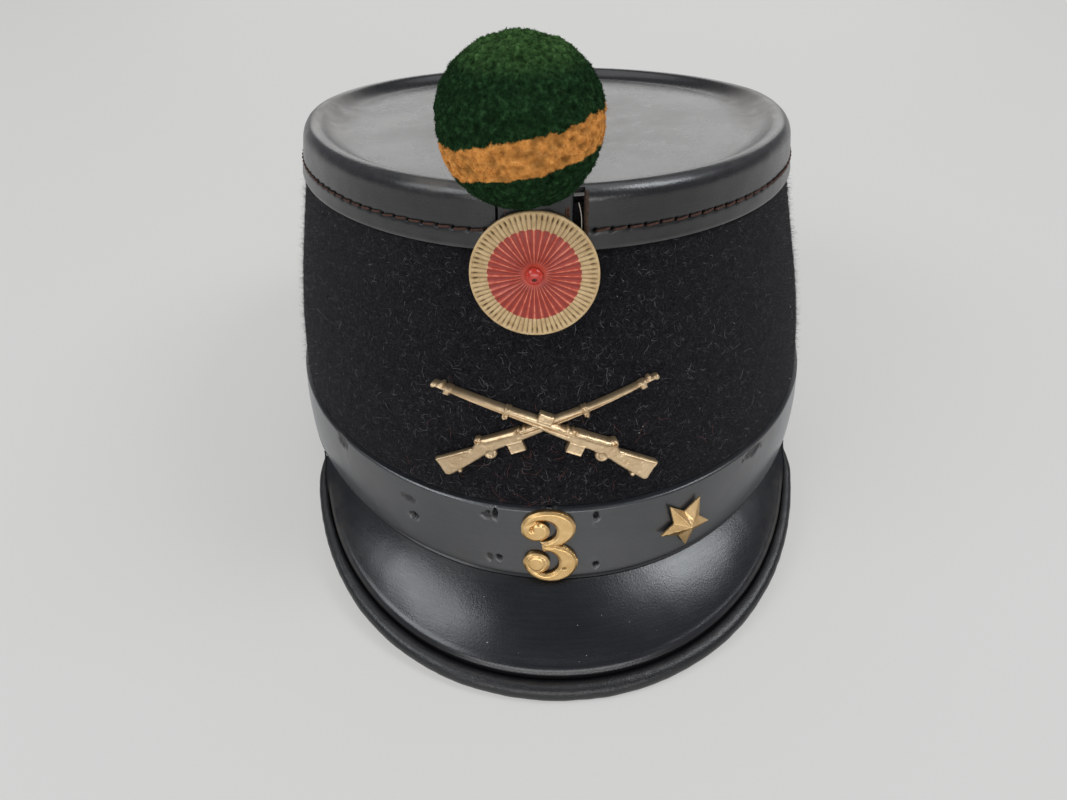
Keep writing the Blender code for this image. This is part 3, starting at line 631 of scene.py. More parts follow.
def cockade_look():
    """Ivory ring and red middle: ring is the radius as a share, wave the flute's height, dash a dark mark."""
    look = Look("cockade_paint")
    wave = look.attribute("wave")
    blot = look.noise(520.0, 5.0, 0.7)
    ivory = look.ramp(blot, (0.3, (0.46, 0.30, 0.13)), (0.6, (0.64, 0.46, 0.24)), (0.85, (0.74, 0.58, 0.34)))
    ivory = look.mix(look.span(wave, 0.0, 0.45, 0.85, 0.0), ivory, (0.15, 0.085, 0.035))
    ivory = look.mix(look.attribute("dash"), ivory, (0.035, 0.022, 0.010))
    red = look.ramp(blot, (0.3, (0.40, 0.040, 0.022)), (0.7, (0.58, 0.075, 0.042)))
    red = look.mix(look.span(wave, 0.0, 0.45, 0.60, 0.0), red, (0.13, 0.010, 0.008))
    worn = look.times(look.span(wave, 0.70, 1.0), look.span(blot, 0.38, 0.60, 0.1, 0.9))
    red = look.mix(worn, red, (0.74, 0.32, 0.21))
    edge = look.plus(look.attribute("ring"), look.span(wave, 0.0, 1.0, -0.012, 0.014))
    colour = look.mix(look.span(edge, COCKADE_RED - 0.004, COCKADE_RED + 0.004), red, ivory)
    rough = look.span(blot, 0.3, 0.7, 0.30, 0.48)
    return look.finish(colour, rough, look.bump(blot, 0.05, 0.5), Specular_IOR_Level=0.5)


def boss_look():
    look = Look("boss_paint")
    chip = look.noise(700.0, 4.0, 0.7)
    colour = look.ramp(
        chip, (0.3, (0.40, 0.022, 0.014)), (0.60, (0.55, 0.040, 0.026)), (0.75, (0.62, 0.16, 0.11))
    )
    colour = look.mix(look.attribute("pit"), colour, (0.05, 0.035, 0.018))
    return look.finish(colour, look.span(chip, 0.3, 0.7, 0.18, 0.34), Specular_IOR_Level=0.6)


def lint_look(name, low, high):
    look = Look(name)
    return look.finish(look.mix(look.noise(800.0, 2.0), low, high), 0.8)


def floor_look():
    look = Look("floor_pale")
    colour = look.ramp(look.noise(1.1, 3.0, 0.5), (0.3, (0.255, 0.258, 0.256)), (0.7, (0.265, 0.268, 0.266)))
    return look.finish(
        colour, 0.6, Specular_IOR_Level=0.1, Emission_Color=(1.0, 0.985, 0.955, 1.0), Emission_Strength=0.40
    )


# --- Crown and its nap.


def felt_crown():
    under_band = BAND_PROUD - BAND_THICK - FIT_GAP
    under_skirt = TAB_SEAT - FIT_GAP
    gap = FIT_GAP / CROWN_HEIGHT
    top = RIM_BASE - 0.5 * MM / CROWN_HEIGHT
    columns = by_detail(300)
    seen = np.linspace(BAND_LEVEL + 1.2 * gap, SKIRT_LEVEL - 1.2 * gap, by_detail(60))
    tuck = -0.1 * MM * fade(0.0, 0.01, np.minimum(seen - seen[0], seen[-1] - seen))
    level = np.concatenate(([gap, BAND_LEVEL], seen, [SKIRT_LEVEL, top], np.linspace(top, gap, 12)))[:, None]
    proud = np.concatenate(([under_band] * 2, tuck, [under_skirt] * 2, [FELT_INNER] * 12))[:, None]
    turn = circle(columns)
    rough = uneven(crown(turn, level, proud), (0.10, 2.2, 3), (0.05, 0.9, 4))
    shown = (level > BAND_LEVEL + FELT_MARGIN) & (level < SKIRT_LEVEL - FELT_MARGIN) & (proud > under_band)
    verts = crown(turn, level, proud + np.where(shown, rough, 0.0))
    build("felt_crown", verts, hoop(len(level), columns), "felt", felt_look(), ("crown_felt",))


def felt_sites(draw, count):
    """Random places on the visible felt: root, and the directions across, up and out."""
    turn = draw.uniform(-np.pi, np.pi, count)
    level = draw.uniform(BAND_LEVEL + FELT_MARGIN, SKIRT_LEVEL - FELT_MARGIN, count)
    root = crown(turn, level, -0.05 * MM)
    step = 1e-3
    across = unit(crown(turn + step, level) - crown(turn - step, level))
    upward = unit(crown(turn, level + step) - crown(turn, level - step))
    return root, across, upward, unit(np.cross(across, upward))


def felt_curls(name, count, seed):
    """Curly fibres that lie matted on the felt."""
    draw = np.random.default_rng(seed)
    root, across, upward, out = felt_sites(draw, count)
    heading = draw.uniform(0.0, 2.0 * np.pi, count)
    curl = draw.normal(0.0, 1.1, count)
    length = draw.uniform(0.9, 2.7, count) * MM
    lift = draw.uniform(0.10, 0.34, count) * MM
    points = [root]
    for n, climb in enumerate((1.0, 0.35, -0.9)):
        turned = heading + curl * n
        step = along_each(across, np.cos(turned)) + along_each(upward, np.sin(turned))
        points.append(points[-1] + along_each(step, length / 3.0) + along_each(out, lift * climb))
    points = np.stack(points, 1)
    sideways = unit(np.cross(points[:, 2] - points[:, 0], out))
    verts, faces, size = ribbons(points, sideways, draw.uniform(0.08, 0.17, count) * MM)
    tint = np.repeat(draw.uniform(0.0, 1.0, count) ** 1.3, size)
    build(name, verts, faces, "felt", LOOKS["nap"], outward=False, tint=tint)


def felt_fuzz(count):
    """Fine hairs that stand off the felt and soften its outline."""
    draw = np.random.default_rng(3)
    root, across, upward, out = felt_sites(draw, count)
    heading = draw.uniform(0.0, 2.0 * np.pi, count)
    flat = along_each(across, np.cos(heading)) + along_each(upward, np.sin(heading))
    bend = unit(flat + 0.8 * draw.normal(size=(count, 3)))
    stand = draw.uniform(0.5, 2.4, count)[:, None]
    side = rise(0.80, 0.98, np.abs(out[:, 0]))
    length = (0.9 + 2.4 * draw.power(0.8, count) ** 1.8) * (1.0 + 0.1 * side) * MM
    first = unit(flat + out * stand)
    middle = root + along_each(first, 0.5 * length)
    tip = middle + along_each(unit(bend + out * (0.5 * stand)), 0.5 * length)
    points, sideways = np.stack((root, middle, tip), 1), unit(np.cross(first, out + 0.2 * bend))
    verts, faces, size = ribbons(points, sideways, draw.uniform(0.050, 0.090, count) * MM)
    # Painted light: fibres on the crown's left and right sides are paler.
    tint = np.repeat(np.minimum(draw.uniform(0.40, 0.93, count) + 0.15 * side, 0.97), size)
    build("felt_fuzz", verts, faces, "felt", LOOKS["nap"], outward=False, tint=tint)


# --- Cap: skirt, rolled rim and sunk plate in one sheet, with the notch for the tab.


def cap_turns(columns, level):
    """Turns of the columns at each level, so that the notch's edges run straight up."""
    place = np.arange(columns - NOTCH_COLUMNS) / (columns - NOTCH_COLUMNS)
    spread = 2.0 + (place - COLUMN_CROWDING * np.sin(2.0 * np.pi * place) / (2.0 * np.pi))
    shares = np.concatenate((np.linspace(1.0, 2.0, NOTCH_COLUMNS, endpoint=False), spread))
    left, right = (turn_at(x, level, SKIRT_PROUD) for x in (NOTCH_LEFT, NOTCH_RIGHT))
    return np.stack([np.interp(shares, (1.0, 2.0, 3.0), (a, b, a + 2.0 * np.pi)) for a, b in zip(left, right)])


def cap_rows():
    """Level, proud and shrink of the rows of the sheet's outer face and of its inner face, skirt to plate."""
    rows = []
    thick = CAP_THICK / CROWN_HEIGHT
    for up, back in ((0.0, 0.45 * MM), (0.18 * MM, 0.12 * MM), (0.5 * MM, 0.0)):
        level = SKIRT_LEVEL + up / CROWN_HEIGHT
        rows.append((level, SKIRT_PROUD - back, 1.0, level, TAB_SEAT, 1.0))
    for level in np.linspace(SKIRT_LEVEL + 0.010, RIM_BASE, SKIRT_ROWS, endpoint=False):
        rows.append((level, SKIRT_PROUD, 1.0, level, TAB_SEAT, 1.0))
    for angle in np.radians(np.linspace(180.0, RIM_END, RIM_ROWS)):
        row = []
        for radius in (RIM_RADIUS, RIM_RADIUS - CAP_THICK):
            level = 1.0 + (-RIM_RADIUS + radius * math.sin(angle)) / CROWN_HEIGHT
            row += [level, -(RIM_RADIUS - SKIRT_PROUD + radius * math.cos(angle)), 1.0]
        rows.append(row)
    edge_level, edge_proud = rows[-1][:2]
    plate = 1.0 - PLATE_SINK / CROWN_HEIGHT
    steep = -(edge_proud + PLATE_INSET) / CROWN_HEIGHT / math.tan(math.radians(RIM_END))
    for share in np.linspace(0.0, 1.0, 9)[1:]:
        bend = (share**3 - 2.0 * share**2 + share) * steep
        level = edge_level + (plate - edge_level) * share * share * (3.0 - 2.0 * share) + bend
        proud = edge_proud + (-PLATE_INSET - edge_proud) * share
        rows.append((level, proud, 1.0, level - thick, proud, 1.0))
    for shrink in np.linspace(1.0, 0.02, 12)[1:]:
        level = plate - PLATE_SAG / CROWN_HEIGHT * (1.0 - shrink**1.8)
        rows.append((level, -PLATE_INSET, shrink, level - thick, -PLATE_INSET, shrink))
    return np.array(rows).T[..., None]


def stitch_places():
    """Turns of the awl holes round the skirt, clear of the notch."""
    turns = np.linspace(0.0, 2.0 * np.pi, 4001)
    line = crown(turns, STITCH_LEVEL, SKIRT_PROUD)
    run = np.concatenate(([0.0], np.cumsum(np.linalg.norm(np.diff(line, axis=0), axis=1))))
    count = round(run[-1] / STITCH_PITCH)
    places = np.interp((np.arange(count) + 0.4) * run[-1] / count, run, turns)
    left = turn_at(NOTCH_LEFT - 1.2 * MM, STITCH_LEVEL, SKIRT_PROUD) + 2.0 * np.pi
    right = turn_at(NOTCH_RIGHT + 1.0 * MM, STITCH_LEVEL, SKIRT_PROUD)
    return places[(places > right) & (places < left)]


def cap_faces(count, columns):
    """Faces of both sides of the sheet and of the walls between them; a hub closes each side's last row."""
    under = count * columns
    cut_angle = math.degrees(math.acos((NOTCH_DEPTH - (RIM_RADIUS - SKIRT_PROUD)) / RIM_RADIUS))
    rim_cut = int(round((180.0 - cut_angle) / (180.0 - RIM_END) * (RIM_ROWS - 1)))
    cut_rows = EDGE_ROWS + SKIRT_ROWS + rim_cut
    top = quads(count, columns).reshape(count - 1, columns, 4)
    keep = np.ones((count - 1, columns), bool)
    keep[:cut_rows, :NOTCH_COLUMNS] = False
    column = np.arange(NOTCH_COLUMNS, columns)
    faces = [top[keep], (top + under)[keep][:, ::-1], wall(column, (column + 1) % columns, under)]
    row = np.arange(cut_rows) * columns
    faces += [wall(row + edge, row + columns + edge, under) for edge in (0, NOTCH_COLUMNS)]
    shelf = cut_rows * columns + np.arange(NOTCH_COLUMNS)
    faces.append(wall(shelf, shelf + 1, under))
    ring = np.arange(columns)
    for hub, start in ((2 * under, under - columns), (2 * under + 1, 2 * under - columns)):
        faces.append(np.stack((start + ring, start + np.roll(ring, -1), np.full(columns, hub)), -1))
    return faces


def cap_leather():
    columns = by_detail(560)
    level, proud, shrink, level_in, proud_in, shrink_in = cap_rows()
    turns = cap_turns(columns, np.minimum(level[:, 0], 1.0))
    outer = crown(turns, level, proud, shrink)
    skirt = rise(SKIRT_LEVEL, SKIRT_LEVEL + 0.02, level) * (shrink > 0.99)
    swell = uneven(outer, (0.14, 14.0, 11), (0.05, 4.0, 12))
    places = stitch_places()
    wound = np.mod(turns, 2.0 * np.pi)
    mid_skirt = wound[EDGE_ROWS + SKIRT_ROWS // 4 + 1]
    nearest = places[np.abs(mid_skirt[:, None] - places).argmin(1)]
    from_seam = (level - STITCH_LEVEL) * CROWN_HEIGHT
    on_skirt = proud > SKIRT_PROUD - 0.1 * MM
    seam = ridge(from_seam, 0.55 * MM) * on_skirt
    pricks = ridge((wound - nearest) * SKIRT_RADIUS, 0.42 * MM) * ridge(from_seam, 0.5 * MM) * on_skirt
    outer = crown(turns, level, proud + swell * skirt - 0.20 * MM * seam - 0.55 * MM * pricks, shrink)
    outer[..., 2] += uneven(outer, (0.25, 30.0, 13)) * (shrink < 0.99)
    sides = [side.reshape(-1, 3) for side in (outer, crown(turns, level_in, proud_in, shrink_in))]
    verts = np.concatenate(sides + [side[-columns:].mean(0)[None] for side in sides])
    run = np.concatenate(([0.0], np.cumsum(np.linalg.norm(np.diff(outer[:, 0], axis=0), axis=1))))[:, None]
    around = np.mod(turns + np.pi, 2.0 * np.pi) - np.pi
    from_edge = (level - SKIRT_LEVEL) * CROWN_HEIGHT
    outside = proud > 0.0
    rim = rise(SKIRT_LEVEL, 0.955, level) * (shrink > 0.995)
    # Plate mask: real dust on the sunk plate, and a painted reflection, brightest in the middle and fading
    # towards the rim.
    plate = fade(0.40, 0.90, shrink - 4.0 * (proud + 8.0 * MM).clip(0.0, 20.0 * MM))
    # Rim crest: on the front it is painted lighter, partly wear and partly a painted highlight.
    crest = ridge(proud + 0.4 * MM, 1.3 * MM) * (level > 0.97)
    tan_patch = ridge(around + 0.36, 0.10) * crest
    facing = rise(0.1, 0.9, np.cos(around))
    # Painted sheen: the skirt's left and right sides, as seen from the front, get a lighter dust colour.
    far = rise(0.55, 0.0, np.cos(around)) * rise(-0.6, -0.1, np.cos(around))
    below = rise(5.0 * MM, 0.0, from_edge) * outside
    light_line = ridge(from_edge - 0.25 * MM, 0.22 * MM) * outside
    worn = rise(-0.2, 0.6, lumps(outer, 9.0 * MM, 14))
    painted = over(
        turns.shape,
        u=around * 80.0 * MM, v=run, brush=(proud > -4.0 * MM) * (0.35 + 0.65 * rim),
        # Painted shade: the awl holes and the seam's groove are darkened.
        dark=0.9 * pricks + 0.5 * seam,
        # Lighter dust colour: real dust on the tan patch, the lower skirt and the plate; painted reflection on
        # the plate and painted sheen on the far sides.
        dust=0.24 * plate + 0.50 * far * skirt + 0.9 * tan_patch + 0.12 * below + 0.05 * rim * facing,
        # Wear colour: partly a painted highlight on the crest's front; real wear on the plate and along the
        # skirt's edge.
        wear=0.16 * crest * facing + 0.20 * plate * worn + 0.45 * light_line,
    )
    faces = cap_faces(len(level), columns)
    for key, value in painted.items():
        painted[key] = np.concatenate((value.ravel(), np.zeros(turns.size), [value[-1, 0]] * 2))
    build("cap_leather", verts, faces, "leather", LOOKS["cap"], ("top_cap",), sharp=55.0, **painted)


def raw_edge():
    """Frayed brown flesh of the cut skirt beside the tab, up to the rim."""
    rows, sides = 40, 10
    level = np.linspace(SKIRT_LEVEL + 0.004, 1.0 - 0.3 * RIM_RADIUS / CROWN_HEIGHT, rows)[:, None]
    up_rim = np.maximum(0.0, level - RIM_BASE) * CROWN_HEIGHT / RIM_RADIUS
    back = RIM_RADIUS * (1.0 - np.sqrt(np.maximum(0.0, 1.0 - up_rim * up_rim)))
    wobble = np.random.default_rng(21).uniform(-0.12, 0.12, (rows, sides)) * MM
    angle = circle(sides)
    x = NOTCH_RIGHT + 0.30 * MM + (0.80 * MM + wobble) * np.cos(angle)
    proud = SKIRT_PROUD - 0.78 * MM - back + (0.90 * MM + wobble) * np.sin(angle)
    build("skirt_raw_edge", above(x, level, proud), capped(rows, sides), "leather", raw_leather_look())


def stitch_lift(share, high, sink):
    """Height of a stitch over the leather, from end to end."""
    return np.sin(np.pi * share) ** 0.6 * high * MM - sink * MM


def cap_thread():
    """Saddle stitches that dip into the awl holes, each a little aslant."""
    places = stitch_places()
    draw = np.random.default_rng(5)
    share = np.linspace(0.04, 0.88, 9)
    paths = []
    for start, end in zip(places[:-1], places[1:]):
        if end - start < STITCH_GAP:
            tilt = draw.uniform(0.08, 0.34) * MM / CROWN_HEIGHT
            level = STITCH_LEVEL + tilt * (share - 0.5) * 2.0 + draw.uniform(-0.1, 0.1) * MM / CROWN_HEIGHT
            turn = start + (end - start) * share
            paths.append(crown(turn, level, SKIRT_PROUD + stitch_lift(share, 0.48, 0.40)))
    build("cap_thread", *tubes(paths, THREAD_RADIUS), "leather", LOOKS["thread"])


def tab_underside(share):
    """How far the tab stands proud of the crown, at a share of its width."""
    return TAB_SEAT + (2.0 * STEM_RADIUS + FIT_GAP) * np.sin(np.pi * share) ** 2


def tab_leather():
    """Sewn pocket over the stem, with rounded edges."""
    columns, rows = 60, 34
    share = np.linspace(0.0, 1.0, columns)
    level = np.linspace(SKIRT_LEVEL, TAB_TOP, rows)[:, None]
    x = TAB_LEFT + TAB_WIDTH * share
    under = tab_underside(share) + 0.15 * MM * rise(0.90, 0.975, level)
    round_off = 0.35 * MM * fade(0.0, 0.6 * MM, np.minimum(share, 1.0 - share) * TAB_WIDTH)
    wrinkle = uneven(above(x, level, TAB_SEAT), (0.10, 3.0, 31)) + 0.45 * MM * rise(0.35, 0.0, share)
    over_it = under + TAB_THICK - round_off + wrinkle
    verts = np.concatenate([above(x, level, proud) for proud in (over_it, under)])
    first = rows * columns
    top = quads(rows, columns, wrap=False)
    faces = [top, top[:, ::-1] + first]
    down, along = np.arange(rows - 1) * columns, np.arange(columns - 1)
    faces += [wall(down + edge, down + columns + edge, first) for edge in (0, columns - 1)]
    faces += [wall(edge + along, edge + along + 1, first) for edge in (0, first - columns)]
    build("tab_leather", verts, faces, "leather", LOOKS["cap"], ("pompom_tab",), sharp=55.0)


def tab_thread():
    share = np.linspace(0.0, 1.0, 9)
    paths = []
    for x in (-10.1 * MM, 4.1 * MM, 4.7 * MM):
        proud = tab_underside((x - TAB_LEFT) / TAB_WIDTH) + TAB_THICK + stitch_lift(share, 0.45, 0.32)
        paths += [above(x, start + 0.027 * share, proud) for start in np.arange(0.872, 0.965, 0.031)]
    build("tab_thread", *tubes(paths, 1.1 * THREAD_RADIUS), "leather", LOOKS["thread"])


# --- Band, with the empty holes and dents of earlier badges.

# millimetres across and up from the base; half width and half height of the mark; its depth
Mark = namedtuple("Mark", "x up wide high depth")
BAND_MARKS = [
    Mark(-14.9, 19.3, 0.55, 1.25, 1.7),
    Mark(-17.0, 19.4, 0.40, 0.45, 1.2),
    Mark(-17.3, 18.3, 1.30, 0.80, 0.35),
    Mark(-14.1, 5.2, 0.60, 0.80, 1.6),
    Mark(-16.8, 5.0, 0.80, 1.00, 0.35),
    Mark(13.4, 19.2, 0.60, 1.15, 1.7),
    Mark(13.7, 3.7, 0.60, 0.75, 1.6),
    Mark(-39.7, 10.0, 0.95, 0.80, 1.6),
    Mark(-40.9, 15.6, 1.60, 0.80, 0.30),
    Mark(-64.1, 19.3, 1.50, 1.70, 0.50),
    Mark(62.2, 19.3, 2.60, 1.20, 0.50),
    Mark(0.2, 22.6, 1.10, 0.90, 1.2),
]
MARK_IS_HOLE = 0.6


def band_leather():
    near = np.linspace(-BAND_FRONT_TURN, BAND_FRONT_TURN, by_detail(560))
    far = np.linspace(BAND_FRONT_TURN, 2.0 * np.pi - BAND_FRONT_TURN, 100)[1:-1]
    turn = np.concatenate((near, far))
    inner = BAND_PROUD - BAND_THICK
    soft = BAND_EDGE / CROWN_HEIGHT
    edge = [(soft * t, BAND_PROUD - BAND_EDGE * t) for t in 1.0 - np.sin(np.linspace(np.pi / 2.0, 0.0, 5))]
    rows = edge + [(level, BAND_PROUD) for level in np.linspace(soft, BAND_LEVEL - soft, 60)[1:-1]]
    rows += [(BAND_LEVEL - level, proud) for level, proud in edge[::-1]]
    rows += [(level, inner) for level in (BAND_LEVEL, 0.13, 0.07, 0.0)]
    level, proud = np.array(rows).T[..., None]
    flat = crown(turn, level, proud)
    outside = proud > inner + 0.2 * MM
    change = uneven(flat, (0.10, 11.0, 41), (0.03, 3.0, 42))
    wear = 0.18 * ridge((BAND_LEVEL - level) * CROWN_HEIGHT - 0.30 * MM, 0.25 * MM) * outside
    # Painted shadow: darker towards the lower edge, where the band meets the peak.
    dark = 0.5 * rise(2.2 * MM, 0.2 * MM, level * CROWN_HEIGHT) * outside
    dust = 0.06 * rise(0.05, 0.0, level) + 0.06 * rise(-0.1, 0.6, lumps(flat, 12.0 * MM, 43))
    ragged = (1.0 + 0.35 * lumps(flat, 0.9 * MM, 44)) / 1.3
    for mark in BAND_MARKS:
        dx = (flat[..., 0] - mark.x * MM) / (mark.wide * MM)
        dz = (level * FRONT_RISE - mark.up * MM) / (mark.high * MM)
        far_off = np.where(np.cos(turn) > 0.0, np.hypot(dx, dz) * ragged, 99.0)
        # Painted shade in the holes, and about half as much in the shallow dents; the lips get wear and dust.
        hidden, lip_wear, lip_dust = (1.0, 0.40, 0.2) if mark.depth > MARK_IS_HOLE else (0.55, 0.05, 0.35)
        lip = 0.06 * MM * ridge(far_off - 1.55, 0.35) * min(mark.depth, 1.0)
        change = change - mark.depth * MM * fade(0.70, 1.15, far_off) + lip
        dark = np.maximum(dark, hidden * fade(0.5, 1.15, far_off))
        wear = wear + ridge(far_off - 1.30, 0.25) * lip_wear * rise(0.6, -0.6, dz)
        dust = dust + lip_dust * fade(0.6, 1.7, far_off)
    verts = crown(turn, level, proud + np.where(outside, change, 0.0))
    up = level * CROWN_HEIGHT
    painted = over(change.shape, u=turn * 90.0 * MM, v=up, brush=1.0, wear=wear, dust=dust, dark=dark)
    faces = hoop(len(rows), len(turn))
    build("band_leather", verts, faces, "leather", LOOKS["band"], ("base_band",), sharp=70.0, **painted)


# --- Peak and its bead.


def peak_share(turn):
    skewed_turn = turn - PEAK_SKEW * (1.0 - (turn / PEAK_REACH) ** 2)
    return np.minimum(np.abs(skewed_turn) / PEAK_REACH, 1.0)


def peak_length(turn):
    return PEAK_LENGTH * (1.0 - peak_share(turn) ** PEAK_SQUARENESS)


def bead_radius(turn):
    return BEAD_TIP_RADIUS + (BEAD_RADIUS - BEAD_TIP_RADIUS) * (1.0 - peak_share(turn) ** 3)


def plate_edge(turn):
    return np.maximum(peak_length(turn) - 2.0 * bead_radius(turn) - FIT_GAP, PEAK_LEAST)


def peak_point(turn, out, up=0.0):
    """Points of the peak's slope, out from the crown and up from its surface."""
    turn, out, up = together(turn, out, up)
    root = crown(turn, 0.0, 0.6 * MM) - np.array((0.0, 0.0, FIT_GAP))
    normal = oval_normal(turn)
    length = np.maximum(peak_length(turn), 1.0 * MM)
    share = out / length
    camber = PEAK_CAMBER * (length / PEAK_LENGTH) * 4.0 * share * (1.0 - share)
    z = np.array((0.0, 0.0, 1.0))
    along = normal * math.cos(PEAK_SLOPE) - z * math.sin(PEAK_SLOPE)
    square = normal * math.sin(PEAK_SLOPE) + z * math.cos(PEAK_SLOPE)
    return root + along_each(along, out) + along_each(square, camber + up)


def peak_leather():
    columns = by_detail(220)
    turn = np.linspace(-PEAK_END, PEAK_END, columns)[None]
    edge = plate_edge(turn)
    share = np.concatenate((np.linspace(0.0, 0.8, 33, endpoint=False), np.linspace(0.8, 1.0, 30)))[:, None]
    out = edge * share
    from_edge = edge - out
    strength = rise(4.0 * MM, 9.0 * MM, edge)
    hill = 0.12 * MM * ridge(from_edge - 2.4 * MM, 0.80 * MM) * strength
    ledge = -0.30 * MM * fade(0.0, 2.2 * MM, from_edge) * strength
    lip = -0.7 * MM * fade(0.0, 0.9 * MM, from_edge) * strength
    dents = uneven(peak_point(turn, out), (0.10, 16.0, 51), (0.03, 5.0, 52))
    upper = peak_point(turn, out, hill + ledge + lip + dents)
    under = (edge + PEAK_UNDER_BEAD * strength) * np.linspace(1.0, 0.12, 14)[:, None]
    down = np.array((0.0, 0.0, PEAK_THICK))
    knee = crown(turn, 0.0, -0.5 * MM) - 1.1 * down
    inside = crown(turn, 0.0, -PEAK_FLANGE) - np.array((0.0, 0.0, FIT_GAP))
    rows = np.concatenate((inside, upper, peak_point(turn, under, -PEAK_THICK), knee, inside - down))
    sides = rise(0.50, 0.85, np.abs(turn))
    groove = ridge(from_edge, 1.5 * MM) * (0.05 + 0.55 * sides)
    painted = over(
        out.shape,
        u=turn * 100.0 * MM, v=out, brush=1.0,
        dust=(groove + 0.14 * sides * rise(9.0 * MM, 3.0 * MM, from_edge)) * strength
        + 0.03 * rise(2.0 * MM, 0.0, out),
        wear=0.08 * ridge(from_edge - 2.2 * MM, 0.40 * MM) * strength,
        # Painted shade in the dark groove between the plate and the bead.
        dark=0.8 * fade(0.2 * MM, 0.9 * MM, from_edge) * strength,
    )
    rest = len(rows) - 1 - len(share)
    painted = {key: np.pad(value, ((1, rest), (0, 0))).T for key, value in painted.items()}
    verts, faces = rows.transpose(1, 0, 2), capped(columns, len(rows))
    build("peak_plate", verts, faces, "peak_leather", LOOKS["peak"], ("peak",), sharp=50.0, **painted)


def bead_roll():
    columns, sides = by_detail(300), 22
    turn = np.linspace(-BEAD_END, BEAD_END, columns)

    def centre(at):
        drop = 0.5 * PEAK_THICK * (1.0 - peak_share(at) ** 6)
        return peak_point(at, plate_edge(at) + FIT_GAP + bead_radius(at), -drop)

    tip = rise(0.90, 1.0, np.abs(turn) / BEAD_END)
    here = centre(turn) - along_each(oval_normal(turn), 0.9 * MM * tip)
    ahead = unit(centre(turn + 0.01) - centre(turn - 0.01))
    outward = here - peak_point(turn, 0.0)
    outward = unit(outward - ahead * (outward * ahead).sum(-1, keepdims=True))
    up = np.cross(outward, ahead)
    angle = circle(sides, 0.5)
    radius = (bead_radius(turn) * (1.0 - 0.8 * tip))[:, None, None]
    ring = along_each(outward[:, None], np.cos(angle)) + along_each(up[:, None], np.sin(angle))
    pucker = uneven(here[:, None] + ring * radius, (0.08, 1.7, 61), (0.10, 9.0, 62))
    verts = here[:, None] + ring * (radius + pucker[..., None])
    # Top of the roll, painted a little lighter: partly dust, partly a painted highlight.
    upper = rise(0.2, 0.95, np.sin(angle))
    painted = over(
        (columns, sides), u=turn[:, None] * 120.0 * MM, v=angle * BEAD_RADIUS, brush=0.5, wear=0.03 * upper,
        dust=0.04 * rise(0.4, -0.6, np.cos(angle)) * upper,
    )
    build("bead_roll", verts, capped(columns, sides), "peak_leather", LOOKS["bead"], ("peak_bead",), **painted)


# --- Pompom: a lumpy ball under a coat of short clipped tufts.


def ball_surface(direction):
    """Distance from the middle to the clipped surface, along unit directions."""
    z = direction[..., 2]
    flat = np.sqrt(np.maximum(0.0, 1.0 - z * z))
    wide, tall = flat / POMPOM_RADIUS, np.abs(z) / np.where(z > 0.0, POMPOM_TOP, POMPOM_BOTTOM)
    power = np.where(z > 0.0, 2.0, POMPOM_SQUARENESS)
    return (wide**power + tall**power) ** (-1.0 / power)


def locks(direction):
    """Millimetres that the wool stands out or in, in coarse and fine locks."""
    place = direction * POMPOM_RADIUS
    return 0.30 * lumps(place, 1.6 * MM, 71) + 0.38 * lumps(place, 0.95 * MM, 74)


def belt_share(points):
    """Height above the belt's middle plane as a share of the ball's radius."""
    return (points - POMPOM_CENTRE) @ BELT_NORMAL / POMPOM_RADIUS - BELT_MIDDLE


# Painted light: share by height on the ball, for the lit green on top.
def high_share(direction):
    return rise(0.15, 0.95, direction[..., 2])


def pompom_core():
    rows, columns = by_detail((160, 284))
    polar = np.linspace(0.02, np.pi - 0.02, rows)[:, None]
    angle = circle(columns)
    flat = np.sin(polar)
    direction = np.stack(together(flat * np.cos(angle), flat * np.sin(angle), np.cos(polar)), -1)
    bumps = locks(direction) + 0.14 * lumps(direction * POMPOM_RADIUS, 0.5 * MM, 75)
    verts = POMPOM_CENTRE + along_each(direction, ball_surface(direction) + (bumps - 0.42) * MM)
    build(
        "pompom_core", verts, capped(rows, columns), "wool", wool_look("wool_core"), ("pompom",),
        # The tint here is painted shade, darker in the hollows between the locks.
        tint=rise(-0.55, 0.45, bumps), high=high_share(direction), belt=belt_share(verts),
    )


def pompom_tufts(count):
    """Clipped ends of the wool: each tuft stands out along the ball and leans a little."""
    draw = np.random.default_rng(72)
    direction = unit(draw.normal(size=(count, 3)))
    bumps = locks(direction)
    lean = unit(direction + 0.55 * draw.normal(size=(count, 3)))
    bend = unit(direction + 1.10 * draw.normal(size=(count, 3)))
    top = ball_surface(direction) + (bumps - 0.10 + draw.uniform(-0.20, 0.16, count)) * MM
    length = draw.uniform(0.5, 0.95, count) * MM
    root = POMPOM_CENTRE + along_each(direction, top - 0.80 * length)
    verts, faces = blades(root, lean, bend, length, draw.uniform(0.08, 0.17, count) * MM)
    # Painted shade: tufts in hollows are darker, and each tuft is darker at its root than at its tip.
    per = draw.uniform(0.55, 1.0, count) * rise(-0.65, 0.25, bumps)
    belt = belt_share(root + along_each(direction, 0.5 * length))
    build(
        "pompom_tufts", verts, faces, "wool", wool_look("wool_tufts"), outward=False,
        tint=per[:, None] * (0.3, 0.3, 0.75, 0.75, 1.0), high=np.repeat(high_share(direction), 5),
        belt=np.repeat(belt, 5),
    )


# --- Cockade and its boss.


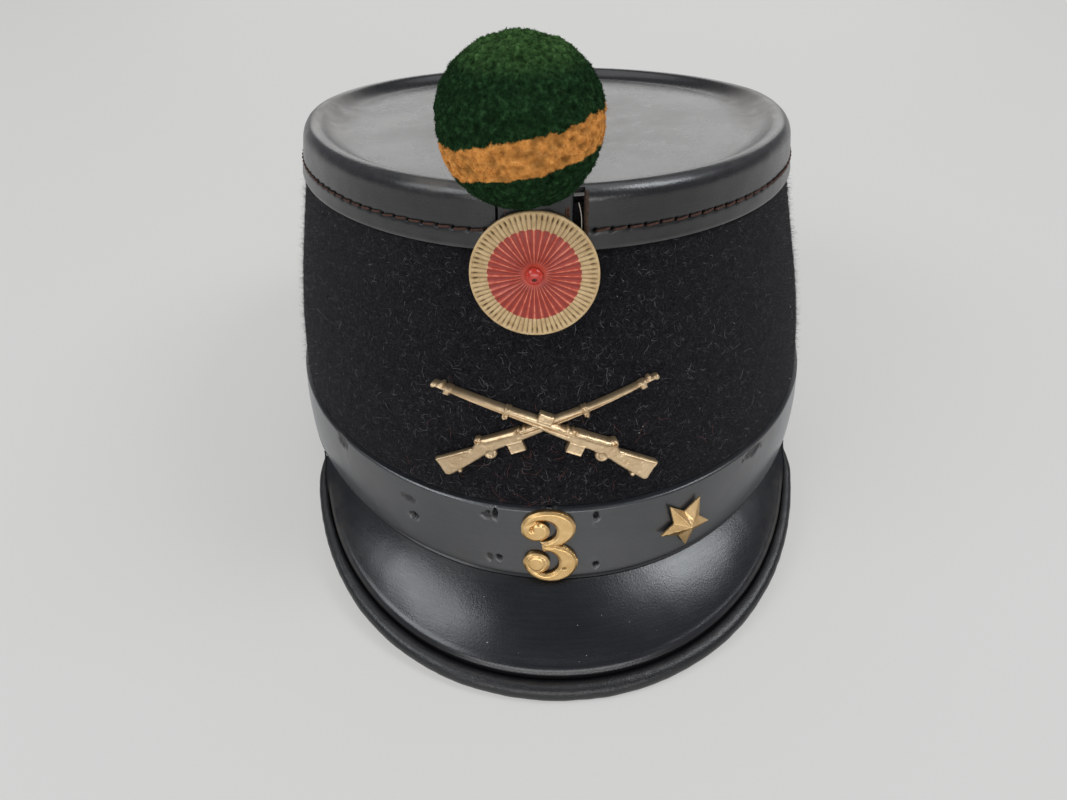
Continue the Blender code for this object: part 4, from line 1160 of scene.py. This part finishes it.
def cockade_disc():
    columns = COCKADE_FLUTES * by_detail(16)
    zones = ((0.07, 0.16, 3), (0.16, 0.70, 25), (0.70, 0.74, 4), (0.74, 0.93, 11), (0.93, 1.0, 7))
    share = np.concatenate([np.linspace(*zone, endpoint=False) for zone in zones] + [[1.0]])[:, None]
    angle = circle(columns)
    unsteady = 0.012 * np.sin(5.0 * angle + 1.0) + 0.010 * np.sin(11.0 * angle)
    ribs = (0.5 + 0.5 * np.cos(COCKADE_FLUTES * (angle + unsteady * 0.4))) ** 2.2
    pleats = (0.5 + 0.5 * np.cos(2.0 * COCKADE_FLUTES * (angle + unsteady * 0.3))) ** 0.7
    red_zone = rise(0.15, 0.30, share) * fade(0.70, 0.735, share)
    ring_zone = rise(0.715, 0.75, share) * fade(0.955, 0.985, share)
    height = 0.55 * MM + 0.35 * MM * rise(0.10, 0.35, share) - 0.15 * MM * rise(0.55, 0.72, share)
    height = height + 0.32 * MM * ribs * red_zone + 0.26 * MM * pleats * ring_zone
    height = height + 0.30 * MM * rise(0.955, 0.975, share) * fade(0.985, 1.0, share)
    wave = np.where(share < COCKADE_RED + 0.005, ribs, pleats)
    wave = np.where((share > 0.962) | (share < 0.20), 0.62, wave)
    dashes = 2 * COCKADE_FLUTES
    strength = np.repeat(np.random.default_rng(81).uniform(0.0, 1.0, dashes) ** 0.6, columns // dashes)
    strength = np.roll(strength, columns // dashes // 2)
    lower = 0.55 + 0.45 * np.abs(np.sin(angle * 0.5 + 0.5))
    dash = rise(0.865, 0.885, share) * fade(0.925, 0.94, share) * rise(0.55, 0.15, pleats) * strength * lower
    where = front_frame(COCKADE_X, COCKADE_UP, COCKADE_PROUD)
    upper = polar_in_frame(where, COCKADE_RADIUS * share, angle, height - 0.45 * MM * dash)
    back = polar_in_frame(where, COCKADE_RADIUS * np.array((1.0, 0.6, 0.07))[:, None], angle, 0.0)
    verts = np.concatenate((upper, back))
    painted = {
        key: np.pad(values, ((0, len(back)), (0, 0)), constant_values=at_back)
        for key, values, at_back in (("ring", share + 0.0 * wave, 1.0), ("wave", wave, 0.6), ("dash", dash, 0.0))
    }
    faces = hoop(len(verts), columns)
    build("cockade_disc", verts, faces, "cockade_paint", cockade_look(), ("cockade",), **painted)


def cockade_boss():
    """Domed head with a small worn hole low on its front, and its shank."""
    where = front_frame(COCKADE_X, COCKADE_UP, COCKADE_PROUD)
    angle = circle(40)
    polar = np.linspace(0.03, np.pi / 2.0, 22)[:, None]
    radius = BOSS_RADIUS * np.sin(polar)
    face = 0.9 * MM + FIT_GAP
    x, y = radius * np.cos(angle), radius * np.sin(angle)
    pit = fade(0.7, 1.15, np.hypot((x - 0.1 * MM) / (0.60 * MM), (y + 0.55 * MM) / (0.42 * MM)))
    dome = in_frame(where, x, y, face + 0.25 * MM + 1.25 * MM * np.cos(polar) - 0.7 * MM * pit)
    low_radius, low_height = np.array((
        (BOSS_RADIUS, SHANK_RADIUS, SHANK_RADIUS), (face, face, FIT_GAP - COCKADE_PROUD)
    ))[..., None]
    verts = np.concatenate((dome, polar_in_frame(where, low_radius, angle, low_height)))
    faces = capped(len(verts), len(angle))
    pits = np.pad(pit, ((0, 3), (0, 0)))
    build("cockade_boss", verts, faces, "rivet_paint", boss_look(), ("cockade_rivet",), pit=pits)


# --- Badges, cast in relief: a height over the flat outline, in millimetres, then laid on the front.


def outline_depth(px, py, outline):
    """Distance inside (positive) or outside (negative) a closed outline."""
    outline = np.asarray(outline, float)
    best = np.full(px.shape, 1e9)
    inside = np.zeros(px.shape, bool)
    for (x0, y0), (x1, y1) in zip(outline, np.roll(outline, -1, axis=0)):
        dx, dy = x1 - x0, y1 - y0
        share = np.clip(((px - x0) * dx + (py - y0) * dy) / max(dx * dx + dy * dy, 1e-12), 0.0, 1.0)
        best = np.minimum(best, np.hypot(px - x0 - share * dx, py - y0 - share * dy))
        crosses = (y0 > py) != (y1 > py)
        with np.errstate(divide="ignore", invalid="ignore"):
            hit = (x1 - x0) * (py - y0) / (y1 - y0) + x0
        inside ^= crosses & (px < hit)
    return np.where(inside, best, -best)


def rounded(depth, thick, edge):
    """Height of a slab with a rounded edge of that width, or below nothing outside it."""
    share = np.clip(depth / edge, 0.0, 1.0)
    return np.where(depth > 0.0, thick * (0.45 + 0.55 * np.sqrt(1.0 - (1.0 - share) ** 2)), -1.0)


def relief_mesh(depth_of, height_of, reach, cell):
    """Closed flat-backed mesh of height_of where depth_of is positive, within (left, low, right, high)."""
    xs = np.arange(reach[0], reach[2] + cell, cell)
    ys = np.arange(reach[1], reach[3] + cell, cell)
    points = np.stack(np.meshgrid(xs, ys), -1).reshape(-1, 2)
    depth = depth_of(*points.T)
    positive = depth > 0.0
    made, keys, triangles = [], {}, []

    def vertex(i, j):
        """The grid point i, or the outline's crossing of the line from i to j."""
        key = (min(i, j), max(i, j))
        if key not in keys:
            a, b = key
            share = 0.0 if a == b else depth[a] / (depth[a] - depth[b])
            keys[key] = len(made)
            made.append(points[a] + (points[b] - points[a]) * share)
        return keys[key]

    cells = quads(len(ys), len(xs), wrap=False)
    for quad in cells[positive[cells].any(1)].tolist():
        for tri in ((quad[0], quad[1], quad[2]), (quad[0], quad[2], quad[3])):
            ring = []
            for a, b in zip(tri, tri[1:] + tri[:1]):
                if positive[a]:
                    ring.append(vertex(a, a))
                if positive[a] != positive[b]:
                    ring.append(vertex(a, b))
            triangles += [(ring[0], ring[n], ring[n + 1]) for n in range(1, len(ring) - 1)]
    flat = np.array(made)
    triangles = np.array(triangles)
    edges = np.sort(np.concatenate((triangles[:, (0, 1)], triangles[:, (1, 2)], triangles[:, (2, 0)])), axis=1)
    pairs, counts = np.unique(edges, axis=0, return_counts=True)
    rim = pairs[counts == 1]
    count = len(flat)
    verts = np.concatenate([np.column_stack((flat, z)) for z in (height_of(*flat.T), np.zeros(count))])
    sides = np.column_stack((rim, rim[:, ::-1] + count))
    return verts, [np.concatenate((triangles, triangles[:, ::-1] + count)), sides]


def bend_to_front(flat, x, up, seat, share=1.0):
    """Lays flat points, in millimetres, on the crown's front, following its curve by share."""
    co = flat * MM
    level = (up + co[:, 1]) / FRONT_RISE
    turn = turn_at(x + co[:, 0], level)
    radius = BASE_HALF_WIDTH**2 / (BASE_HALF_LENGTH + WIDEST_BASE)
    relief = (1.0 - share) * co[:, 0] ** 2 / (2.0 * radius)
    return crown(turn, level) + along_each(oval_normal(turn), seat + relief + co[:, 2])


def deepest(parts):
    return np.maximum.reduce(list(parts))


RIFLE_OUTLINE = [
    (30.6, 0.7), (26.5, 0.95), (21.0, 1.1), (13.0, 1.25), (4.8, 1.6), (-8.5, 1.6), (-19.0, 1.6),
    (-21.5, -0.5), (-24.5, -0.55), (-32.3, -1.2), (-31.7, -6.6), (-31.0, -7.2), (-23.0, -4.7),
    (-19.7, -3.6), (-14.3, -2.5), (-4.2, -1.75), (4.6, -0.95), (14.5, -0.8), (21.0, -0.7), (30.6, -0.5),
]
RIFLE_BARREL = [(30.2, 0.85), (21.0, 1.0), (4.6, 1.45), (-7.4, 1.5), (-7.4, 0.1), (21.0, 0.05), (30.2, -0.05)]
# millimetres along the barrel and up from its axis; height of the top, and width of the rounded edge
Block = namedtuple("Block", "start end low high thick edge")
RIFLE_BLOCKS = [
    Block(-18.0, -7.8, 0.3, 1.85, 2.2, 0.60),
    Block(10.3, 10.95, -1.25, 1.75, 2.2, 0.30),
    Block(11.25, 11.9, -1.2, 1.7, 2.2, 0.30),
    Block(10.3, 11.9, -1.1, 1.55, 1.8, 0.40),
    Block(25.9, 27.6, -1.0, 1.2, 2.05, 0.45),
]
UPPER_RIFLE_BLOCKS = [Block(-11.0, -8.4, 0.9, 1.95, 2.45, 0.45), Block(-1.2, 3.0, 0.9, 3.4, 1.55, 0.35)]
MAGAZINE = Block(-12.1, -7.5, -5.1, -1.8, 1.2, 0.50)
Stud = namedtuple("Stud", "along up radius thick")
RIFLE_STUDS = [
    Stud(-18.8, 1.45, 1.05, 2.1), Stud(-17.4, -3.2, 1.85, 1.15), Stud(11.15, -1.65, 0.55, 1.4),
    Stud(28.7, 1.0, 0.6, 1.7), Stud(30.4, 0.1, 0.75, 1.7), Stud(-27.4, -6.3, 0.6, 1.2),
    Stud(-5.6, 1.55, 0.55, 2.0), Stud(-7.2, 1.60, 0.50, 2.0),
]
RIFLE_TILT = math.radians(-21.5)
RIFLE_BOW_LENGTH = 30.0
Rifle = namedtuple("Rifle", "mirror lift bow scale")
UPPER_RIFLE = Rifle(1, 0.8, -0.9, 0.975)
LOWER_RIFLE = Rifle(-1, 0.0, 1.1, 0.985)


def rifle_relief(px, py, rifle):
    """Relief of one rifle, and how far inside its outline each point lies."""
    x, y = px * rifle.mirror / rifle.scale, py / rifle.scale
    c, s = math.cos(RIFLE_TILT), math.sin(RIFLE_TILT)
    along = -(x * c + y * s)
    up = -x * s + y * c - rifle.bow * (np.maximum(0.0, along) / RIFLE_BOW_LENGTH) ** 2
    stock = outline_depth(along, up, RIFLE_OUTLINE)
    barrel = outline_depth(along, up, RIFLE_BARREL)
    heel = rise(-4.5, -2.0, up + 0.35 * (along + 30.0).clip(-9.0, 0.0))
    height = rounded(stock, 1.3, 0.7) + 0.32 * ridge(stock - 0.35, 0.25) * between(along, -40.0, -22.5) * heel
    height = np.maximum(height, rounded(barrel, 1.9, 0.55))
    depth = np.maximum(stock, barrel)
    for block in RIFLE_BLOCKS + (UPPER_RIFLE_BLOCKS if rifle is UPPER_RIFLE else []) + [MAGAZINE]:
        start, end, low, high = block[:4]
        inside = outline_depth(along, up, [(start, low), (end, low), (end, high), (start, high)])
        height = np.maximum(height, rounded(inside, block.thick, block.edge))
        depth = np.maximum(depth, inside)
        if block is MAGAZINE:
            height = height + 0.25 * ridge(inside - 0.25, 0.22) * (inside > 0.0)
    for stud in RIFLE_STUDS:
        inside = stud.radius - np.hypot(along - stud.along, up - stud.up)
        height = np.maximum(height, rounded(inside, stud.thick, 0.6 * stud.radius))
        depth = np.maximum(depth, inside)
    for along_at, up_at, radius, sink in ((-18.8, 1.45, 0.45, 0.9), (-17.4, -3.2, 1.15, 0.45)):
        height = height - sink * fade(0.6, 1.1, np.hypot(along - along_at, up - up_at) / radius)
    for gain, line, half, start, end in (
        (-0.40, -0.12, 0.15, -6.5, 25.0), (0.22, 1.05, 0.16, -17.0, -3.5),
        (-0.28, 0.62, 0.15, -17.0, -3.0), (0.20, 0.15, 0.15, -17.5, -3.0),
    ):
        height = height + gain * ridge(up - line, half) * between(along, start, end)
    return np.where(depth > 0.0, height + rifle.lift, -1.0), depth


def rifles_cast():
    def depth_of(x, y):
        return deepest(rifle_relief(x, y, rifle)[1] for rifle in (UPPER_RIFLE, LOWER_RIFLE))

    def height_of(x, y):
        return np.maximum(deepest(rifle_relief(x, y, rifle)[0] for rifle in (UPPER_RIFLE, LOWER_RIFLE)), 0.35)

    flat, faces = relief_mesh(depth_of, height_of, (-35.0, -17.0, 35.0, 16.0), by_detail(0.185))
    chips = 0.05 * lumps(flat, 0.8, 95) + 0.04 * lumps(flat, 0.4, 96)
    flat[:, 2] += np.where(flat[:, 2] > 0.1, chips, 0.0)
    verts = bend_to_front(flat, BADGE_X, BADGE_UP, FIT_GAP, BADGE_BEND)
    relief = np.clip(flat[:, 2] / 2.0, 0.0, 1.0)
    look = brass_look("gilt_cast", (0.58, 0.41, 0.235), (0.80, 0.61, 0.39), 0.36, 0.60, 0.85, 0.06)
    build("rifles_cast", verts, faces, "gilt", look, ("rifles_badge",), sharp=60.0, relief=relief)


Bowl = namedtuple("Bowl", "cx cy rx ry hole_x hole_y hole_rx hole_ry start end")
NUMERAL_BOWLS = [
    Bowl(-0.2, 5.5, 7.4, 5.6, -1.8, 4.8, 3.9, 3.3, -100.0, 187.0),
    Bowl(0.35, -5.3, 7.5, 5.8, -0.9, -5.1, 3.7, 3.6, -176.0, 100.0),
]
Ball = namedtuple("Ball", "cx cy rx ry")
NUMERAL_BALLS = [Ball(-3.7, 4.75, 3.85, 3.0), Ball(-3.45, -5.3, 3.65, 3.1)]
NUMERAL_SPUR = [(-2.0, 0.6), (-1.8, -1.1), (0.4, -1.6), (2.6, -1.2), (2.6, 0.8), (0.4, 0.4)]
NUMERAL_THICK = 1.7
NUMERAL_LEAST = 0.9
NUMERAL_BEVEL = 0.55
NUMERAL_BEVEL_WIDTH = 0.75


def bowl_outline(bowl):
    angle = np.radians(np.linspace(bowl.start, bowl.end, 60))
    outer, inner = (
        np.stack((x + rx * np.cos(angle), y + ry * np.sin(angle)), -1) for x, y, rx, ry in (bowl[:4], bowl[4:8])
    )
    return np.concatenate((outer, inner[::-1]))


def numeral_cast():
    outlines = [bowl_outline(bowl) for bowl in NUMERAL_BOWLS] + [NUMERAL_SPUR]

    def bowls(x, y):
        return deepest(outline_depth(x, y, outline) for outline in outlines)

    def balls(x, y):
        return deepest(b.ry * (1.0 - np.hypot((x - b.cx) / b.rx, (y - b.cy) / b.ry)) for b in NUMERAL_BALLS)

    def bevelled(depth, thick):
        bevel = NUMERAL_BEVEL * (1.0 - np.clip(depth / NUMERAL_BEVEL_WIDTH, 0.0, 1.0))
        return np.where(depth > 0.0, thick - bevel, 0.0)

    def height_of(x, y):
        height = np.maximum(bevelled(bowls(x, y), NUMERAL_THICK), bevelled(balls(x, y), NUMERAL_THICK + 0.15))
        curl = ridge(np.hypot(x + 2.8, (y - 4.9) / 1.1) - 2.1, 0.26)
        curl = curl * between(np.arctan2(y - 4.9, x + 2.8), 1.0, 3.0, 0.1)
        height = np.maximum(height, NUMERAL_LEAST) - 0.65 * curl - 0.7 * ridge(np.hypot(x + 4.6, y - 5.3), 0.45)
        height = height - 0.22 * ridge(np.hypot(x + 3.5, y + 5.4) - 2.2, 0.25)
        return height - 0.25 * fade(0.5, 1.0, np.hypot((x - 4.2) / 0.75, (y + 6.6) / 0.45))

    def depth_of(x, y):
        return np.maximum(bowls(x, y), balls(x, y))

    flat, faces = relief_mesh(depth_of, height_of, (-9.0, -12.0, 9.0, 12.0), by_detail(0.18))
    verts = bend_to_front(flat, NUMERAL_X, NUMERAL_UP, BAND_PROUD + FIT_GAP)
    spot = np.hypot((flat[:, 0] - 4.2) / 0.8, (flat[:, 1] + 6.6) / 0.5)
    relief = np.clip(flat[:, 2] / 1.2, 0.0, 1.0) * rise(0.5, 1.1, spot)
    look = brass_look("brass_numeral", (0.68, 0.43, 0.17), (0.88, 0.61, 0.30), 0.36, 0.75, 1.0, 0.04)
    build("numeral_cast", verts, faces, "brass", look, ("numeral_badge",), sharp=30.0, relief=relief)


# Star: outline, point and notch by turns, and the apex of its facets, in millimetres.
STAR_OUTLINE = [
    (5.5, 6.0), (-0.1, 3.2), (-5.0, 6.7), (-4.0, 0.5), (-8.7, -1.8),
    (-2.7, -4.1), (-0.5, -8.3), (2.6, -4.4), (8.3, -3.5), (4.9, -0.3),
]
STAR_APEX = (0.3, -1.2, 3.2)
STAR_EDGE = 0.5


def star_cast():
    def depth_of(x, y):
        return outline_depth(x, y, STAR_OUTLINE)

    def height_of(x, y):
        ax, ay, crest = STAR_APEX
        x, y = x - ax, y - ay
        corners = [(px - ax, py - ay) for px, py in STAR_OUTLINE]
        share = np.zeros(x.shape)
        for (x0, y0), (x1, y1) in zip(corners, corners[1:] + corners[:1]):
            area = x0 * y1 - x1 * y0
            first, second = (x * y1 - x1 * y) / area, (x0 * y - x * y0) / area
            inside = (first > -1e-6) & (second > -1e-6)
            share = np.where(inside, np.maximum(share, 1.0 - first - second), share)
        tip_x, tip_y = corners[2]
        reach = math.hypot(tip_x, tip_y)
        run, off = (x * tip_x + y * tip_y) / reach, (y * tip_x - x * tip_y) / reach
        lines = np.sin(2.0 * np.pi * off / 1.15 + 0.8)
        lines = lines * between(run, 1.2, 6.6, 0.8) * between(off, -2.3, 0.2, 0.25)
        return STAR_EDGE + (crest - STAR_EDGE) * np.clip(share, 0.0, 1.0) + 0.10 * lines

    flat, faces = relief_mesh(depth_of, height_of, (-10.0, -10.0, 10.0, 10.0), by_detail(0.16))
    verts = in_frame(front_frame(STAR_X, STAR_UP, BAND_PROUD + FIT_GAP + 0.5 * MM), *(flat.T * MM))
    relief = np.clip(flat[:, 2] / 0.9, 0.0, 1.0)
    look = brass_look("brass_star", (0.80, 0.50, 0.21), (0.98, 0.70, 0.37), 0.40, 0.15, 1.0, 0.015)
    build("star_cast", verts, faces, "brass", look, ("star_badge",), sharp=12.0, relief=relief)


# --- Lint: pale and reddish fibres on the felt, white specks on the peak, one loose thread.


def lint(name, count, seed, middle, spread, length, radius, low, high):
    """Curly fibres scattered round the middle; distances in millimetres across and up the front."""
    draw = np.random.default_rng(seed)
    middle, spread, length = (np.array(pair) * MM for pair in (middle, spread, length))
    steps = 10
    paths = []
    for _ in range(count):
        x = middle[0] + spread[0] * draw.normal()
        up = np.clip(middle[1] + spread[1] * draw.normal(), 24.0 * MM, 92.0 * MM)
        heading = draw.uniform(0.0, 2.0 * np.pi)
        stride = draw.uniform(*length) / steps
        bend = draw.normal() * 0.16
        points = []
        for _ in range(steps):
            points.append((x, up))
            heading += bend + 0.22 * draw.normal()
            x += stride * math.cos(heading)
            up += stride * math.sin(heading)
        arch = 0.25 * MM + 0.35 * MM * np.sin(np.linspace(0.0, np.pi, steps)) * draw.uniform(0.3, 1.0)
        paths.append(front(*np.array(points).T, arch))
    build(name, *tubes(paths, radius * MM, 4), "felt", lint_look(name + "_look", low, high))


def specks():
    """White dust on the peak and felt: small flattened grains."""
    draw = np.random.default_rng(91)
    places = []
    for _ in range(11):
        turn = draw.normal() * 0.42
        out = draw.uniform(0.15, 0.85) * float(plate_edge(turn))
        places.append((peak_point(turn, out, 0.08 * MM), draw.uniform(0.07, 0.17) * MM))
    for _ in range(40):
        turn, level = draw.uniform(-1.2, 1.2), draw.uniform(0.22, 0.83)
        places.append((crown(turn, level, 0.25 * MM), draw.uniform(0.05, 0.13) * MM))
    ball = bmesh.new()
    bmesh.ops.create_icosphere(ball, subdivisions=1, radius=1.0)
    shape = np.array([v.co for v in ball.verts])
    tris = np.array([[v.index for v in f.verts] for f in ball.faces])
    ball.free()
    verts = np.concatenate([place + shape * size * draw.uniform(0.5, 1.3, 3) for place, size in places])
    faces = np.concatenate([tris + n * len(shape) for n in range(len(places))])
    build("dust_specks", verts, [faces], "felt", lint_look("dust_look", (0.45, 0.45, 0.45), (0.75, 0.75, 0.72)))


def loose_thread():
    """Pale end of thread that hangs beside the tab, from under the pompom to the stitch line."""
    share = np.linspace(0.0, 1.0, 16)
    x = (6.9 + 1.3 * share + 0.25 * np.sin(5.0 * share)) * MM
    path = front(x, (107.5 - 9.6 * share) * MM, (1.9 - 0.3 * share) * MM)
    look = lint_look("loose_thread_look", (0.42, 0.37, 0.30), (0.60, 0.56, 0.50))
    build("loose_thread", *tubes([path], 0.11 * MM), "leather", look)


# --- Floor, light and camera.

# Camera in the hat's frame, as fitted to the photo: pixels of focal length, angles and place.
PHOTO_WIDTH = 1067
FOCAL_PIXELS = 814.8
SENSOR_WIDTH = 36.0
CAMERA_YAW = math.radians(1.6)
CAMERA_PITCH = math.radians(34.19)
CAMERA_ROLL = math.radians(-0.70)
CAMERA_PLACE = Vector((1.05, -266.88, 169.2)) * MM
FLOOR_HALF = 6.0
LIGHT_AIM = Vector((0.0, 0.0, 0.06))
COOL = (0.93, 0.965, 1.0)


def add(name, data):
    thing = bpy.data.objects.new(name, data)
    bpy.context.scene.collection.objects.link(thing)
    return thing


def add_camera():
    data = bpy.data.cameras.new("camera")
    data.sensor_width = SENSOR_WIDTH
    data.lens = FOCAL_PIXELS * SENSOR_WIDTH / PHOTO_WIDTH
    data.clip_start = 0.01
    data.clip_end = 50.0
    turn = Matrix.Rotation(CAMERA_YAW, 4, "Z") @ Matrix.Rotation(math.pi / 2.0 - CAMERA_PITCH, 4, "X")
    turn = turn @ Matrix.Rotation(CAMERA_ROLL, 4, "Z")
    camera = add("camera", data)
    camera.matrix_world = TIP @ Matrix.Translation(CAMERA_PLACE) @ turn
    bpy.context.scene.camera = camera


def add_floor():
    mesh = bpy.data.meshes.new("floor")
    corners = [(x * FLOOR_HALF, y * FLOOR_HALF, 0.0) for x, y in ((-1, -1), (1, -1), (1, 1), (-1, 1))]
    mesh.from_pydata(corners, [], [(0, 1, 2, 3)])
    mesh.materials.append(floor_look())
    floor = add("floor", mesh)


def add_light(name, place, size, power, colour=(1.0, 1.0, 1.0)):
    data = bpy.data.lights.new(name, "AREA")
    data.shape = "RECTANGLE"
    data.size, data.size_y = size
    data.energy = power
    data.color = colour
    light = add(name, data)
    light.location = place
    light.rotation_euler = (LIGHT_AIM - Vector(place)).to_track_quat("-Z", "Y").to_euler()


def add_world():
    world = bpy.data.worlds.new("studio")
    world.use_nodes = True
    world.node_tree.nodes["Background"].inputs["Color"].default_value = (0.93, 0.95, 1.0, 1.0)
    world.node_tree.nodes["Background"].inputs["Strength"].default_value = 0.16
    bpy.context.scene.world = world


bpy.context.scene.view_settings.view_transform = "Standard"
LOOKS = {
    "nap": nap_look(),
    "thread": thread_look(),
    "cap": leather_look(
        "leather_cap", (0.004, 0.0045, 0.006), (0.010, 0.0105, 0.013), rough=0.23, grain=0.04, brushing=0.25,
        scratch=0.5, shine=0.7, dusty=0.02, coat=0.06,
    ),
    "band": leather_look(
        "leather_band", (0.010, 0.0115, 0.014), (0.020, 0.022, 0.026), rough=0.31, grain=0.04, brushing=0.20,
        scratch=0.3, shine=1.0, dusty=0.18, coat=0.45,
    ),
    "peak": leather_look(
        "leather_peak", (0.0015, 0.002, 0.0035), (0.0035, 0.0045, 0.0075), rough=0.25, grain=0.03,
        brushing=0.22, scratch=0.5, shine=0.75,
    ),
    "bead": leather_look(
        "leather_bead", (0.002, 0.0025, 0.0035), (0.005, 0.0055, 0.007), rough=0.33, grain=0.10, brushing=0.20,
        scratch=0.3, shine=0.6,
    ),
}
felt_crown()
felt_curls("felt_curls_a", by_detail(15500), 1)
felt_curls("felt_curls_b", by_detail(15500), 2)
felt_fuzz(by_detail(25000))
cap_leather()
raw_edge()
cap_thread()
tab_leather()
tab_thread()
band_leather()
peak_leather()
bead_roll()
pompom_core()
pompom_tufts(by_detail(34000))
cockade_disc()
cockade_boss()
rifles_cast()
numeral_cast()
star_cast()
RED, PALE = ((0.085, 0.025, 0.022), (0.17, 0.055, 0.042)), ((0.12, 0.12, 0.13), (0.30, 0.30, 0.30))
lint("lint_red", 60, 92, (2.0, 36.0), (17.0, 9.0), (2.0, 6.0), 0.045, *RED)
lint("lint_pale", 130, 93, (2.0, 50.0), (30.0, 17.0), (1.0, 4.5), 0.030, *PALE)
specks()
loose_thread()
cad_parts["pompom_stem"].material_slots[0].material = steel_look()

add_world()
add_floor()
add_light("overhead", (0.0, 0.45, 1.45), (1.9, 0.9), 5.6)
add_light("left_window", (-0.95, -0.48, 1.08), (0.80, 0.55), 7.0, COOL)
add_light("right_window", (0.88, -0.06, 1.22), (0.50, 0.60), 8.0, COOL)
add_light("back_window", (0.0, 1.60, 0.40), (1.7, 0.6), 4.8, (1.0, 0.99, 0.97))
add_light("front_window", (0.0, -1.55, 0.55), (2.0, 0.5), 11.0)
add_camera()
